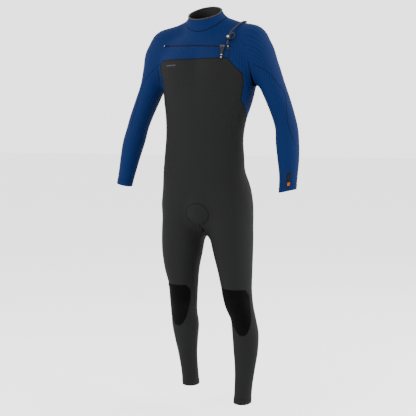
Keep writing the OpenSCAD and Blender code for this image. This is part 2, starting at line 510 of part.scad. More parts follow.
collar();
collar_binding();
neck_seal();
neck_flap();
chest_band();
front_panel();
waist_panel();
cup_panel();
crotch_gusset();
back_yoke();
upper_back();
middle_back();
lower_back();
seat_panel();
side_panel_left();
side_panel_right();
shoulder_left();
shoulder_right();
sleeve_head_left();
sleeve_head_right();
upper_sleeve_left();
upper_sleeve_right();
elbow_left();
elbow_right();
forearm_left();
forearm_right();
wrist_cuff_left();
wrist_cuff_right();
hip_left();
hip_right();
thigh_left();
thigh_right();
knee_left();
knee_right();
knee_pad_left();
knee_pad_right();
shin_left();
shin_right();
ankle_hem_left();
ankle_hem_right();
zip_tape_upper();
zip_tape_lower();
zip_coils();
zip_end_stops();
zip_garage();
zip_slider();
pull_ring();
pull_strap();
drawcord();
cord_anchor();
cord_lock_body();
cord_lock_button();
cord_lock_spring();
wrist_tag();
chest_mark();
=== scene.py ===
"""Full-length wetsuit with a chest zip, in the shape it takes on a wearer.

Shapes are worked out in pattern millimetres: +X is the wearer's left, -Y the front, +Z up.
SCALE turns them into the metres of the engineering frame.
"""

import json
import math

import bmesh
import bpy
import numpy as np
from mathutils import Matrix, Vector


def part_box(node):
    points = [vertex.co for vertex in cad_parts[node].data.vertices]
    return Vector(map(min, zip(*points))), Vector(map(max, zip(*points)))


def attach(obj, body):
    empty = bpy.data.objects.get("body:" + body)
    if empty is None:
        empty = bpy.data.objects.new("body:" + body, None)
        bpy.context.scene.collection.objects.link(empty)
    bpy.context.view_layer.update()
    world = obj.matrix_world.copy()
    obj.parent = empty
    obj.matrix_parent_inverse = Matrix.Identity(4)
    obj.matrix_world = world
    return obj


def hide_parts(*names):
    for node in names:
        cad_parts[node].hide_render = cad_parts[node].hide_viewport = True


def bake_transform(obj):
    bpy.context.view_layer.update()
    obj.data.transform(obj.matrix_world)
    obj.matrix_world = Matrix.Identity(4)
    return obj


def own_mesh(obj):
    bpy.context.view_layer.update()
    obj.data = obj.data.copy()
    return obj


bl_info = {
    "name": "Wetsuit Builder",
    "version": (1, 0, 0),
    "blender": (4, 5, 0),
    "location": "3D View > Sidebar > Wetsuit",
    "description": "Builds a full-length wetsuit with a chest zip on its engineering frame",
    "category": "Object",
}

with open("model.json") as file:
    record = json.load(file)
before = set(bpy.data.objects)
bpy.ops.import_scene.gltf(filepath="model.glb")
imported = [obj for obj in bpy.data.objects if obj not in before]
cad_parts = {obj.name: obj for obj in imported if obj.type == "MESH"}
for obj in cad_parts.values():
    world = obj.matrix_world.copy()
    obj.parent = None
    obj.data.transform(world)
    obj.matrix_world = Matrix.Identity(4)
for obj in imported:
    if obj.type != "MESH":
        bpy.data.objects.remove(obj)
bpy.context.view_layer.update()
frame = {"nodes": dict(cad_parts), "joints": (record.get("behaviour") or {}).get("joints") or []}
JOINTS = {joint["name"]: joint for joint in frame["joints"]}
# How far the pattern's left cuff reaches out and its left ankle hem reaches down
CUFF_REACH = 362.56
HEM_REACH = 1408.45
SCALE = np.array([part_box("wrist_cuff_left")[1].x / CUFF_REACH] * 2
                 + [-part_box("ankle_hem_left")[0].z / HEM_REACH])
SIDES = {"left": 1, "right": -1}
MM = 0.001

# ---------------------------------------------------------------- sizes and colours


def number(name, text, default, **more):
    """A setting with one number."""
    return bpy.props.FloatProperty(name=name, description=text, default=default, **more)


class SuitSizes(bpy.types.PropertyGroup):
    """Sizes of the fabric, its ribs and seams"""

    fabric: number("Fabric", "Thickness of the foam fabric, in millimetres", 4.0, min=2, max=6)
    grid: number("Grid", "Spacing of the surface grid, in millimetres", 6.0, min=3, max=12)
    rib: number("Rib", "Distance between the ribs of the blue knit", 0.0091, unit="LENGTH", precision=4)
    seam: number("Seam", "Width of a stitched seam, in millimetres", 2.4, min=1, max=5)
    coil: number("Coil pitch", "Distance between the turns of the zip's coils, in millimetres", 1.7,
                 min=1, max=3)
    pad: number("Knee pad", "Height of the knee pads, in millimetres", 2.0, min=1, max=4)
    cord: number("Cord", "Diameter of the drawcord, in millimetres", 4.6, min=3, max=6)


def colour(name, text, rgb):
    """A colour setting with linear red, green and blue."""
    return bpy.props.FloatVectorProperty(name=name, description=text, subtype="COLOR", size=3, default=rgb)


class SuitColours(bpy.types.PropertyGroup):
    """Colours of the suit's materials"""

    blue: colour("Blue", "Ribbed knit of the chest, shoulders and sleeves", (0.0004, 0.0066, 0.038))
    charcoal: colour("Charcoal", "Jersey of the body and legs", (0.0056, 0.0057, 0.0059))
    rubber: colour("Rubber", "Knee pads", (0.00012, 0.00012, 0.00014))
    lining: colour("Lining", "Inside of the suit", (0.011, 0.011, 0.0115))
    binding: colour("Binding", "Tape round the collar's rim", (0.020, 0.017, 0.015))
    cord: colour("Cord", "Braided drawcord", (0.016, 0.014, 0.012))
    webbing: colour("Webbing", "Zip pull and anchor", (0.0065, 0.0065, 0.0065))
    plastic: colour("Plastic", "Coils and cord lock", (0.0020, 0.0020, 0.0022))
    steel: colour("Steel", "Button, studs and stops", (0.30, 0.31, 0.32))
    gunmetal: colour("Gunmetal", "Slider and its ring", (0.045, 0.043, 0.042))
    accent: colour("Accent", "Woven end of the sleeve label", (0.16, 0.045, 0.001))
    print_grey: colour("Print", "Printed mark on the chest", (0.030, 0.031, 0.034))


class SuitStage(bpy.types.PropertyGroup):
    """Camera, floor and lights"""

    azimuth: number("Azimuth", "Where the camera stands round the suit, from its front", math.radians(25),
                    subtype="ANGLE")
    distance: number("Distance", "From the camera to the suit's upright axis", 3.0, unit="LENGTH")
    height: number("Height", "Height of the camera against the shoulders", -0.4, unit="LENGTH")
    pitch: number("Pitch", "How far the camera looks down", math.radians(5.6), subtype="ANGLE")
    lens: number("Lens", "Focal length", 67.96, unit="CAMERA")
    floor: number("Floor", "Height of the floor, a foot's height under the ankles", -1.52, unit="LENGTH")
    world: number("World", "Strength of the light from all round", 2.6)
    side: number("Side lights", "Power of each side light in watts", 150)


def sizes():
    return bpy.context.scene.wetsuit_sizes


def colours():
    return bpy.context.scene.wetsuit_colours


# ---------------------------------------------------------------- form of the suit


def mix(a, b, t):
    return a + (b - a) * t


def sin(a):
    return np.sin(np.radians(a))


def cos(a):
    return np.cos(np.radians(a))


def ease(x):
    """3 x^2 - 2 x^3 between 0 and 1: flat at both ends."""
    x = np.clip(x, 0, 1)
    return x * x * (3 - 2 * x)


def vec(x, y, z):
    """Points from three broadcast coordinates."""
    return np.stack(np.broadcast_arrays(*(np.asarray(v, float) for v in (x, y, z))), -1)


def melt(a, b, k):
    """Smaller of two distances, rounded by a parabola where they are less than k apart."""
    h = np.maximum(k - np.abs(a - b), 0) / k
    return np.minimum(a, b) - h * h * k / 4


def cubic(knots, values, slopes, at):
    """Values between rising knots: a cubic that has the value and slope of the knots on both sides."""
    i = np.clip(np.searchsorted(knots, at, side="right") - 1, 0, len(knots) - 2)
    h = (knots[i + 1] - knots[i])[:, None]
    t = (at - knots[i])[:, None] / h
    return ((1 - t) ** 2 * ((1 + 2 * t) * values[i] + t * h * slopes[i])
            + t * t * ((3 - 2 * t) * values[i + 1] + (t - 1) * h * slopes[i + 1]))


class Ovals:
    """Stack of level ovals: rows of height, centre x, centre y, half-width, depth in front, depth behind."""

    def __init__(self, power, rows):
        table = np.array(rows, float)[::-1]
        self.power, self.z, self.values = power, table[:, 0], table[:, 1:]
        self.slopes = np.gradient(self.values, self.z, axis=0)

    def middle(self, z):
        """Centre of the oval at a height, straight between rows."""
        return vec(np.interp(z, self.z, self.values[:, 0]), np.interp(z, self.z, self.values[:, 1]), z)

    def __call__(self, p):
        """How far a point lies outside the oval (|x/a|^n + |y/b|^n = 1) along its own radius."""
        z = np.clip(p[:, 2], self.z[0], self.z[-1])
        x, y, a, front, back = cubic(self.z, self.values, self.slopes, z).T
        dx, dy = p[:, 0] - x, p[:, 1] - y
        depth = np.where(dy < 0, front, back)
        share = (np.abs(dx / a) ** self.power + np.abs(dy / depth) ** self.power) ** (1 / self.power)
        near = np.hypot(dx, dy) * (1 - 1 / np.maximum(share, 0.001))
        past = np.maximum(p[:, 2] - self.z[-1], self.z[0] - p[:, 2])
        return np.where(past > 0, np.hypot(np.maximum(near, 0), past), near)


TRUNK = Ovals(2.3, [
    [-40, 0, 14, 60, 50, 44], [-65, 0, 10, 125, 74, 70], [-100, 0, 5, 160, 92, 90],
    [-160, 4, 2, 178, 107, 101], [-220, 6, 0, 184, 112, 98], [-290, 2, -2, 175, 106, 90],
    [-360, -6, -4, 160, 99, 80], [-430, -12, -4, 155, 95, 76], [-500, -15, -2, 160, 95, 84],
    [-570, -18, 0, 164, 96, 95], [-640, -17, 2, 166, 94, 100], [-700, -11, 2, 160, 84, 92],
    [-745, -6, 2, 140, 62, 70], [-785, -2, 2, 90, 30, 34]])
ARMS = {1: Ovals(2, [
    [-60, 190, 2, 20, 20, 20], [-90, 198, 2, 48, 48, 48], [-120, 208, 3, 56, 57, 58],
    [-150, 219, 4, 57, 60, 62], [-220, 249, 8, 50, 54, 56], [-290, 277, 14, 46, 50, 50],
    [-350, 297, 20, 43, 45, 46], [-390, 308, 20, 42, 44, 45], [-440, 314, 14, 43, 46, 44],
    [-500, 322, 2, 40, 41, 40], [-560, 328, -12, 34, 35, 34], [-620, 330, -26, 32, 30, 30],
    [-700, 336, -42, 32, 30, 30]]),
    -1: Ovals(2, [
    [-60, -190, 2, 20, 20, 20], [-90, -198, 2, 48, 48, 48], [-120, -206, 2, 56, 57, 58],
    [-150, -212, 2, 57, 60, 62], [-220, -233, 0, 51, 54, 56], [-290, -262, -4, 48, 50, 50],
    [-350, -286, -10, 45, 45, 46], [-390, -298, -16, 43, 44, 45], [-440, -308, -26, 44, 46, 44],
    [-500, -316, -42, 39, 41, 40], [-560, -323, -56, 34, 35, 34], [-620, -331, -70, 31, 30, 30],
    [-700, -340, -86, 31, 30, 30]])}
LEGS = {1: Ovals(2.1, [
    [-580, 80, 0, 30, 30, 30], [-620, 82, 0, 56, 54, 60], [-670, 86, -2, 78, 76, 88],
    [-720, 94, -4, 84, 86, 92], [-790, 102, -8, 82, 86, 86], [-860, 112, -14, 74, 80, 78],
    [-930, 125, -24, 64, 70, 66], [-1000, 138, -36, 56, 60, 54], [-1050, 151, -44, 52, 56, 50],
    [-1100, 164, -40, 47, 48, 54], [-1160, 171, -36, 49, 44, 60], [-1220, 176, -44, 46, 40, 52],
    [-1290, 179, -58, 38, 34, 38], [-1350, 180, -72, 33, 35, 34], [-1460, 180, -90, 34, 41, 36]]),
    -1: Ovals(2.1, [
    [-580, -90, 0, 30, 30, 30], [-620, -92, 0, 56, 54, 60], [-670, -96, 0, 78, 76, 88],
    [-720, -98, -2, 84, 86, 92], [-790, -100, -8, 84, 86, 86], [-860, -102, -14, 79, 80, 78],
    [-930, -100, -22, 67, 70, 66], [-1000, -91, -26, 55, 60, 54], [-1050, -92, -22, 52, 56, 50],
    [-1100, -99, -8, 50, 48, 54], [-1160, -104, 10, 53, 44, 60], [-1220, -108, 26, 46, 40, 52],
    [-1290, -110, 44, 38, 34, 38], [-1350, -109, 58, 34, 36, 34], [-1460, -108, 78, 34, 41, 36]])}


def folded(p):
    """Points with the wearer's right side laid onto the left."""
    return p * [0, 1, 1] + np.abs(p) * [1, 0, 0]


def bulb(p, centre, radii):
    """Distance from an ellipsoid along the line to its centre, less a tenth."""
    q = p - np.array(centre, float)
    return np.linalg.norm(q, axis=1) * (1 - 1 / np.maximum(np.linalg.norm(q / radii, axis=1), 0.001)) * 0.9


def bone(p, a, b, ra, rb):
    """Distance from a round bar between two points whose radius changes evenly along it."""
    a, ab = np.array(a, float), np.subtract(b, a, dtype=float)
    t = np.clip((p - a) @ ab / (ab @ ab), 0, 1)
    return np.linalg.norm(p - a - t[:, None] * ab, axis=1) - (ra + (rb - ra) * t)


def chest(p):
    """Trunk, shoulders, chest muscles, neck and arms melted together."""
    q = folded(p)
    d = melt(TRUNK(p), bone(q, (36, 14, -20), (170, 8, -62), 52, 45), 60)
    d = melt(d, bulb(q, (180, 4, -106), (68, 66, 74)), 50)
    d = melt(d, bulb(q, (72, -62, -165), (72, 46, 62)), 50)
    d = melt(d, bulb(p, (0, -24, -92), (132, 54, 50)), 46)
    d = melt(d, bulb(p, (0, 36, -92), (132, 50, 54)), 46)
    d = melt(d, bone(p, (-4, 4, -40), (-4, -26, 70), 64, 62), 34)
    return melt(d, np.where(p[:, 0] > 0, ARMS[1](p), ARMS[-1](p)), 34)


def hips(p, legs):
    """Trunk, seat, legs and cup melted together."""
    q = folded(p)
    d = melt(TRUNK(p), bulb(q, (70, 56, -640), (78, 66, 86)), 50)
    return melt(melt(d, legs, 50), bulb(p, (-2, -66, -700), (38, 36, 52)), 34)


# How far each leg stays from the middle plane
LEG_GAP = 0.8


def pelvis(p):
    return hips(p, melt(LEGS[1](p), LEGS[-1](p), 16))


def left_leg(p):
    return np.maximum(hips(p, LEGS[1](p)), LEG_GAP - p[:, 0])


def right_leg(p):
    return np.maximum(hips(p, LEGS[-1](p)), LEG_GAP + p[:, 0])


# Height where the chest's form gives way to the pelvis's
CHEST_FOOT = -430


def body(p):
    return np.where(p[:, 2] > CHEST_FOOT, chest(p), pelvis(p))


LEG_FORM = {1: left_leg, -1: right_leg}


def leave(origin, way, form):
    """Where lines leave a form: 24 steps along each, each 0.95 of the distance still to go."""
    origin, way = np.broadcast_arrays(origin, way)
    o, w = origin.reshape(-1, 3), way.reshape(-1, 3)
    r = np.full(len(o), 15.0)
    for _ in range(24):
        r -= 0.95 * form(o + w * r[:, None])
    return (o + w * r[:, None]).reshape(origin.shape)


def toward(origin, p, form):
    way = p - origin
    return leave(origin, way / np.linalg.norm(way, axis=-1, keepdims=True), form)


def outward(grid, form):
    """Unit normal: the form's change over 1 mm along each axis."""
    p = grid.reshape(-1, 3)
    n = np.stack([form(p + step) - form(p - step) for step in np.eye(3)], -1)
    return (n / np.linalg.norm(n, axis=1, keepdims=True)).reshape(grid.shape)


def press(p, form, turns=4):
    """Points moved onto the form along its normal."""
    for _ in range(turns):
        p = p - form(p)[:, None] * outward(p, form)
    return p


# ---------------------------------------------------------------- lines that panels are cut along

COLLAR_RIM = np.array([-4, -18, 38.5])
RIM_TILT = 28
RIM_RADIUS = 66
COLLAR_CORE = np.array([-4, 4, -75.0])
BINDING = 4 / 58
ARMPIT = {1: np.array([197, 4, -238.0]), -1: np.array([-187, 0, -246.0])}
SHOULDER_TOP = np.array([175, 4, -20.0])
ARM_LEAN = 22
GROIN_Z = -746
GROIN_LEAN = 36.5
GROIN_SLOPE = math.tan(math.radians(GROIN_LEAN))
ZIP_TILT = 3
YOKE_BACK, PIT, FLARE, WAIST, SEAT = -88, -240, -286, -352, -560
CORNERS = {1: ([122, 168], [-138, -194]), -1: ([148, 167], [-138, -160])}
PANEL_A, BACK_A, FLAP_A, YOKE_A = 68, 128, 62, 118
SIDE_A = {1: 70, -1: 74}
SLEEVE, ELBOW_TOP, ELBOW_LOW = -262, -340, -430
CUFF = {1: -617, -1: -610}
THIGH, KNEE_TOP, KNEE_LOW = -870, -1040, -1150
HEM = {1: -1408, -1: -1420}
HEM_DEPTH = 22
ZIP_ENDS = (-148, 120)
TRUNK_RADIUS = 150
# Half breadth of the flap's and the yoke's lower seams
YOKE_REACH = 182
# How far the armhole's centre lies from the armpit
HEAD_REACH = 110
# The knee pads' top and foot
PAD_TOP, PAD_FOOT = -985, -1157


def level(a):
    """Level unit vector at an angle from the front towards the wearer's left."""
    return vec(sin(a), -cos(a), 0)


def trunk(a, z):
    """Level cut round the trunk."""
    return leave(*np.broadcast_arrays(TRUNK.middle(z + 0 * a), level(a + 0 * z)), body)


def facing(s, x, z):
    """Chest straight ahead (-1) or astern (1) of a breadth and height."""
    return leave(vec(x, 6, z), vec(0, s, 0), chest)


def collar_at(a, v):
    """Collar from the seam at its foot, level 0, to its tilted round rim, level 1."""
    v = np.asarray(v, float)[..., None]
    foot = vec(-4 + 68 * sin(a), 2 - 66 * cos(a), -14 - 25 * cos(a) + 16 * sin(a) ** 2)
    rim = COLLAR_RIM + RIM_RADIUS * vec(sin(a), -cos(a) * cos(RIM_TILT), -cos(a) * sin(RIM_TILT))
    return toward(mix(COLLAR_CORE, COLLAR_RIM, v), mix(foot, rim, v), chest)


def armhole_lean(s):
    d = SHOULDER_TOP * [s, 1, 1] - ARMPIT[s]
    return math.degrees(math.atan2(d[2], s * d[0]))


def head_ring(s, a, v):
    """Rings of the sleeve head: 0 is the armhole, 1 lies square across the arm and 2 ends the head."""
    v = np.asarray(v, float)
    lean = mix(armhole_lean(s), ARM_LEAN, np.minimum(v, 1))
    reach = mix(HEAD_REACH, 56, np.minimum(v, 1))
    centre = ARMPIT[s] + reach[..., None] * vec(s * cos(lean), 0, sin(lean))
    past = np.maximum(v - 1, 0)[..., None]
    centre = mix(centre, ARMS[s].middle(np.array(float(SLEEVE))), past)
    return leave(centre, vec(s * sin(a) * cos(lean), -cos(a), sin(a) * sin(lean)), chest)


def armhole_x(s, z):
    return mix(ARMPIT[s][0], s * SHOULDER_TOP[0], (z - ARMPIT[s][2]) / (SHOULDER_TOP[2] - ARMPIT[s][2]))


def limb_ring(s, a, z, limb, form, lean):
    """Ring round a limb whose centre is at height z, tilted outwards by the lean."""
    return leave(limb.middle(z + 0 * a), vec(s * sin(a) * cos(lean), -cos(a), sin(a) * sin(lean)), form)


def arm_ring(s, a, z):
    return limb_ring(s, a, z, ARMS[s], ARMS[s], np.interp(z, [-400, -300], [12, ARM_LEAN]))


def hip_z(s):
    """Height of the hip ring's centre, whose plane goes through the groin."""
    return GROIN_Z + GROIN_SLOPE * abs(LEGS[s].middle(np.array(-680.0))[0])


def leg_ring(s, a, z):
    return limb_ring(s, a, z, LEGS[s], LEG_FORM[s], np.interp(z, [-850, hip_z(s)], [0, GROIN_LEAN]))


def groin_z(a):
    """Height of the crease of the groin and of the seat's fold round the trunk, found in four tries."""
    z = np.full(np.shape(a), -680.0)
    for _ in range(4):
        z = GROIN_Z + GROIN_SLOPE * np.abs(trunk(a, z)[..., 0])
    return z


def flap_z(x):
    """Height of the line that the zip follows."""
    return -90 - (x - 10) * math.tan(math.radians(ZIP_TILT))


def slot_half(x):
    """Half of the slot that the coils lie in, closed to nothing past the zip's ends."""
    return 2.1 * ease((x - ZIP_ENDS[0] + 14) / 14) * ease((ZIP_ENDS[1] + 8 - x) / 8)


def panel_top(x):
    """Seam between the chest band and the front panel: level, then down its cut corners."""
    return np.where(x > 0, np.interp(np.abs(x), *CORNERS[1]), np.interp(np.abs(x), *CORNERS[-1]))


def panel_half(s, z):
    """Angle of the front panel's edge: steady down to the flare, then out to the side at the waist."""
    return np.interp(z, [WAIST, FLARE, PIT, CORNERS[s][1][1], 0],
                     [90, SIDE_A[s], SIDE_A[s], PANEL_A, PANEL_A])


def spread(length, step=None, fine=True):
    """Shares from 0 to 1, even steps with three close ones beside each end where a seam sinks in."""
    step = step or sizes().grid
    if not fine:
        return np.linspace(0, 1, max(int(round(length / step)), 1) + 1)
    ends = np.array([0, 0.9, 2.0, 3.6]) / length
    inner = np.linspace(ends[-1], 1 - ends[-1], max(int(round(length / step)), 1) + 1)
    return np.concatenate([ends[:-1], inner, 1 - ends[-2::-1]])


# ---------------------------------------------------------------- making pieces

FINISHES = {}
# Breadth of the bell curve by which fabric sinks into a seam
SINK = 1.5


def solid(name, points, faces, finishes, uv=None, kinds=None, sharp=42, scale=None):
    """Mesh object from points in pattern millimetres, faces, and one UV pair per corner in metres."""
    mesh = bpy.data.meshes.new(name)
    mesh.from_pydata((points * (SCALE if scale is None else scale)).tolist(), [], [list(f) for f in faces])
    if uv is not None:
        mesh.uv_layers.new(name="UVMap").data.foreach_set("uv", uv.astype(np.float32).ravel())
    if kinds is not None:
        mesh.polygons.foreach_set("material_index", kinds.astype(np.int32))
    piece = bpy.data.objects.new(name, mesh)
    bpy.context.scene.collection.objects.link(piece)
    for finish in finishes:
        mesh.materials.append(FINISHES[finish])
    mesh.polygons.foreach_set("use_smooth", np.ones(len(mesh.polygons), bool))
    mesh.set_sharp_from_angle(angle=math.radians(sharp))
    return piece


def fold(name, loop, ring, u, v, finishes, inner=None, sharp=42):
    """Closed skin through a loop of rows that go over a piece and back under it.

    Rows run down the outside and columns towards the wearer's left. A ring closes round its columns too,
    with one more u than it has columns; another piece is capped at both ends. Inner rows take finish 1.
    """
    rows, cols = loop.shape[:2]
    index = np.arange(rows * cols).reshape(rows, cols)
    wide = np.concatenate([index, index[:, :1]], 1) if ring else index
    u, v = (np.broadcast_to(w, wide.shape) for w in (u, v))

    def corners(a):
        b = np.roll(a, -1, 0)
        return np.stack([a[:, :-1], b[:, :-1], b[:, 1:], a[:, 1:]], -1).reshape(-1, 4)

    faces, uv = corners(wide), np.stack([corners(u), corners(v)], -1)
    kinds = np.repeat(np.zeros(rows, int) if inner is None else inner.astype(int), wide.shape[1] - 1)
    if not ring:
        up, down = np.arange(rows // 2 - 1), np.arange(1, rows // 2)
        under, over = rows - 1 - up, rows - 1 - down
        for col, order, face in ((0, [down, up, under, over], [down, up, up, down]),
                                 (-1, [up, down, over, under], [up, down, down, up])):
            faces = np.concatenate([faces, index[order, col].T])
            uv = np.concatenate([uv, np.stack([u[face, col].T, v[face, col].T], -1)])
        kinds = np.append(kinds, np.zeros(2 * len(up), int))
    return solid(name, loop.reshape(-1, 3), faces, finishes, uv, kinds, sharp)


def barrel(name, rings, finish, sharp, u=None, v=None, hole=False, scale=None):
    """Skin over rings of points with an end face on each, or closed on itself round a hole."""
    rows, cols = rings.shape[:2]
    index = np.arange(rows * cols).reshape(rows, cols)
    wide = np.concatenate([index, index[:, :1]], 1)
    if hole:
        wide = np.concatenate([wide, wide[:1]])

    def corners(a):
        return np.stack([a[:-1, :-1], a[:-1, 1:], a[1:, 1:], a[1:, :-1]], -1).reshape(-1, 4)

    faces, uv = corners(wide).tolist(), None
    if not hole:
        faces += [index[0, ::-1].tolist(), index[-1].tolist()]
    if u is not None:
        u, v = (np.broadcast_to(w, wide.shape) for w in (u, v))
        uv = np.concatenate([np.stack([corners(u), corners(v)], -1).reshape(-1, 2), np.zeros((2 * cols, 2))])
    return solid(name, rings.reshape(-1, 3), faces, (finish,), uv, sharp=sharp, scale=scale)


def run_lengths(grid, axis):
    """Length along the rows or columns from the first to each point."""
    steps = np.linalg.norm(np.diff(grid, axis=axis), axis=-1)
    start = np.zeros_like(np.take(steps, [0], axis))
    return np.cumsum(np.concatenate([start, steps], axis), axis)


def cloth(name, grid, form, finish, rider="suit", slot=None, ring=False, proud=0.0, thick=None,
          dips=(0, 0, 0, 0), u=None):
    """Fabric: a grid on the form as its outside, sunk by a bell curve at seams, and a back under it.

    dips are the depths at the top, foot, first column and last column. The piece stands for the CAD node
    of its name.
    """
    thick = thick or sizes().fabric
    n = outward(grid, form)
    down, across = run_lengths(grid, 0), run_lengths(grid, 1)
    depth = np.zeros(grid.shape[:2])
    for dip, away in zip(dips, (down, down[-1:] - down, across, across[:, -1:] - across)):
        depth = depth + dip * np.exp(-((away / SINK) ** 2))
    loop = np.concatenate([grid + n * (proud - depth)[..., None], (grid + n * (proud - thick))[::-1]])
    v = down.mean(1)
    v = np.concatenate([v, v[::-1]])[:, None] * MM
    if u is None:
        u = across[len(across) // 2]
    u = np.asarray(u, float) * MM
    if u.ndim == 2:
        u = np.concatenate([u, u[::-1]])
    inner = np.arange(len(loop)) >= len(grid)
    inner[-1] = False
    settle(fold(name, loop, ring, u, v, (finish, "lining"), inner), rider, slot or finish, name)


def settle(piece, rider, slot, *nodes):
    """Puts a piece on its body, or bakes it in place where it lies between two, and hides the CAD nodes it
    stands for.
    """
    if isinstance(rider, str):
        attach(piece, rider)
    else:
        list(rider)
        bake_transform(piece)
    if nodes:
        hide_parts(*nodes)


def metres(x, y, z):
    return tuple(float(c) for c in np.array([x, y, z]) * SCALE)


def elbow(side):
    s = SIDES[side]
    return ("suit", "lower_arm_" + side, metres(s * 291, 0, -343), metres(s * (291 + 22.5), 0, -427))


def hip(side):
    s = SIDES[side]
    return ("suit", "upper_leg_" + side, metres(0, 0, GROIN_Z), metres(s * 66.6, 0, GROIN_Z - 90))


def knee(side):
    return ("upper_leg_" + side, "lower_leg_" + side, metres(0, 0, KNEE_TOP), metres(0, 0, KNEE_LOW))


def curve_through(points, step=3.0):
    """Smooth path through points: a cubic between each two with the slope of their neighbours."""
    p = np.array(points, float)
    t = run_lengths(p, 0)
    return cubic(t, p, np.gradient(p, t, axis=0), np.linspace(0, t[-1], max(int(t[-1] / step), 4) + 1))


def seam(name, path, form, rider, slot="lining", finish="thread", width=None, proud=0.5, closed=False):
    """Stitched seam: a low crowned ribbon laid along a path on the form."""
    width = width or sizes().seam
    path = press(np.asarray(path, float), form)
    along = np.roll(path, -1, 0) - np.roll(path, 1, 0) if closed else np.gradient(path, axis=0)
    n = outward(path, form)
    across = np.cross(n, along)
    across /= np.linalg.norm(across, axis=1, keepdims=True)
    shares = np.linspace(-0.5, 0.5, 5)
    grid = path + shares[:, None, None] * width * across
    grid = press(grid.reshape(-1, 3), form, 2).reshape(grid.shape)
    normals = outward(grid, form)
    crown = proud * (1 - (2 * shares) ** 2)[:, None, None] + 0.06
    loop = np.concatenate([grid + normals * crown, (grid - normals * 0.5)[::-1]])
    length = run_lengths(path, 0)
    if closed:
        length = np.append(length, length[-1] + np.linalg.norm(path[0] - path[-1]))
    across_v = np.concatenate([shares, shares[::-1]])[:, None] * width * MM
    piece = fold(name, loop, closed, length * MM, across_v, (finish,), sharp=60)
    settle(piece, rider, slot)


def sweep(name, path, radius, finish, sides=12, scale=None):
    """Round cord with domed ends: a circle carried along a path, square to it."""
    along = np.gradient(path, axis=0)
    along /= np.linalg.norm(along, axis=1, keepdims=True)
    x = np.cross(along, [1.0, 0.2, 0.1])
    x /= np.linalg.norm(x, axis=1, keepdims=True)
    y = np.cross(along, x)
    cap = radius * np.array([0.12, 0.62, 0.9])
    lead = radius * np.array([0.55, 0.38, 0.18])
    path = np.concatenate([path[:1] - along[:1] * lead[:, None], path,
                           path[-1:] + along[-1:] * lead[::-1, None]])
    x, y = (np.concatenate([np.repeat(w[:1], 3, 0), w, np.repeat(w[-1:], 3, 0)]) for w in (x, y))
    radii = np.concatenate([cap, np.full(len(path) - 6, float(radius)), cap[::-1]])
    a = np.linspace(0, 2 * np.pi, sides, endpoint=False)
    ring = np.cos(a)[:, None, None] * x + np.sin(a)[:, None, None] * y
    rings = (path + radii[:, None] * ring).transpose(1, 0, 2)
    u = np.linspace(0, 1, sides + 1) * 2 * np.pi * radius * MM
    return barrel(name, rings, finish, 60, u, run_lengths(path, 0)[:, None] * MM, scale=scale)


def turned(name, profile, origin, axis, finish, sides=48, hole=False):
    """Profile of (radius, height) pairs spun round an axis; round a hole it closes on itself."""
    profile = np.array(profile, float)
    axis = np.array(axis, float) / np.linalg.norm(axis)
    x = np.cross(axis, [0.0, 0.3, 1.0])
    x /= np.linalg.norm(x)
    y = np.cross(axis, x)
    a = np.linspace(0, 2 * np.pi, sides, endpoint=False)
    ring = np.cos(a)[:, None] * x + np.sin(a)[:, None] * y
    rings = profile[:, :1, None] * ring + profile[:, 1, None, None] * axis + np.array(origin, float)
    return barrel(name, rings, finish, 35, hole=hole)


def outside(piece):
    """Turns a closed mesh's faces outward."""
    work = bmesh.new()
    work.from_mesh(piece.data)
    bmesh.ops.recalc_face_normals(work, faces=work.faces)
    work.to_mesh(piece.data)
    work.free()
    return piece


def rounded(w, power=0.35):
    """A sine or cosine raised to a power with its sign kept, which turns a circle into a rounded square."""
    return np.sign(w) * np.abs(w) ** power


# ---------------------------------------------------------------- materials


class Wire:
    """A socket in a material; sums on it add Math nodes."""

    def __init__(self, tree, socket=None):
        self.tree, self.socket = tree, socket

    def node(self, kind, settings=None, inputs=None, out=0):
        """Adds a node: its settings first, then values or links of its sockets."""
        made = self.tree.nodes.new("ShaderNode" + kind)
        for key, value in (settings or {}).items():
            setattr(made, key, value)
        for key, value in (inputs or {}).items():
            if isinstance(value, Wire):
                self.tree.links.new(value.socket, made.inputs[key])
            else:
                made.inputs[key].default_value = value
        return Wire(self.tree, made.outputs[out])

    def math(self, operation, *terms):
        return self.node("Math", {"operation": operation}, dict(enumerate(terms)))

    def __add__(self, other):
        return self.math("ADD", self, other)

    def __sub__(self, other):
        return self.math("SUBTRACT", self, other)

    def __rsub__(self, other):
        return self.math("SUBTRACT", other, self)

    def __mul__(self, other):
        return self.math("MULTIPLY", self, other)

    __radd__, __rmul__ = __add__, __mul__

    def wave(self, pitch, shift=0.0):
        """Half of one plus the cosine of the distance over the pitch."""
        return self.math("COSINE", self * (2 * math.pi / pitch) + shift) * 0.5 + 0.5

    def over(self, edge, width):
        """0 below an edge and 1 above it, changing over a width."""
        return self.node("MapRange", {"interpolation_type": "SMOOTHSTEP"},
                         {0: self, 1: edge - width / 2, 2: edge + width / 2})

    def noise(self, scale, detail=3.0, rough=0.55, place=None):
        place = place or self.node("TexCoord", out=3)
        return self.node("TexNoise", None,
                         {"Vector": place, "Scale": scale, "Detail": detail, "Roughness": rough})

    def blend(self, a, b):
        """Colour a where this is 0 and b where it is 1."""
        a, b = (c if isinstance(c, Wire) else (*c, 1) for c in (a, b))
        return self.node("Mix", {"data_type": "RGBA"}, {0: self, 6: a, 7: b}, 2)

    def across(self):
        """The two coordinates of the piece's own UV map, in metres."""
        uv = self.node("UVMap", {"uv_map": "UVMap"})
        return self.node("SeparateXYZ", None, {0: uv}), self.node("SeparateXYZ", None, {0: uv}, 1)

    def bump(self, height, depth, strength):
        return self.node("Bump", None, {"Height": height, "Distance": depth, "Strength": strength})


def tinted(rgb, factor):
    return tuple(min(float(c) * factor, 1.0) for c in rgb)


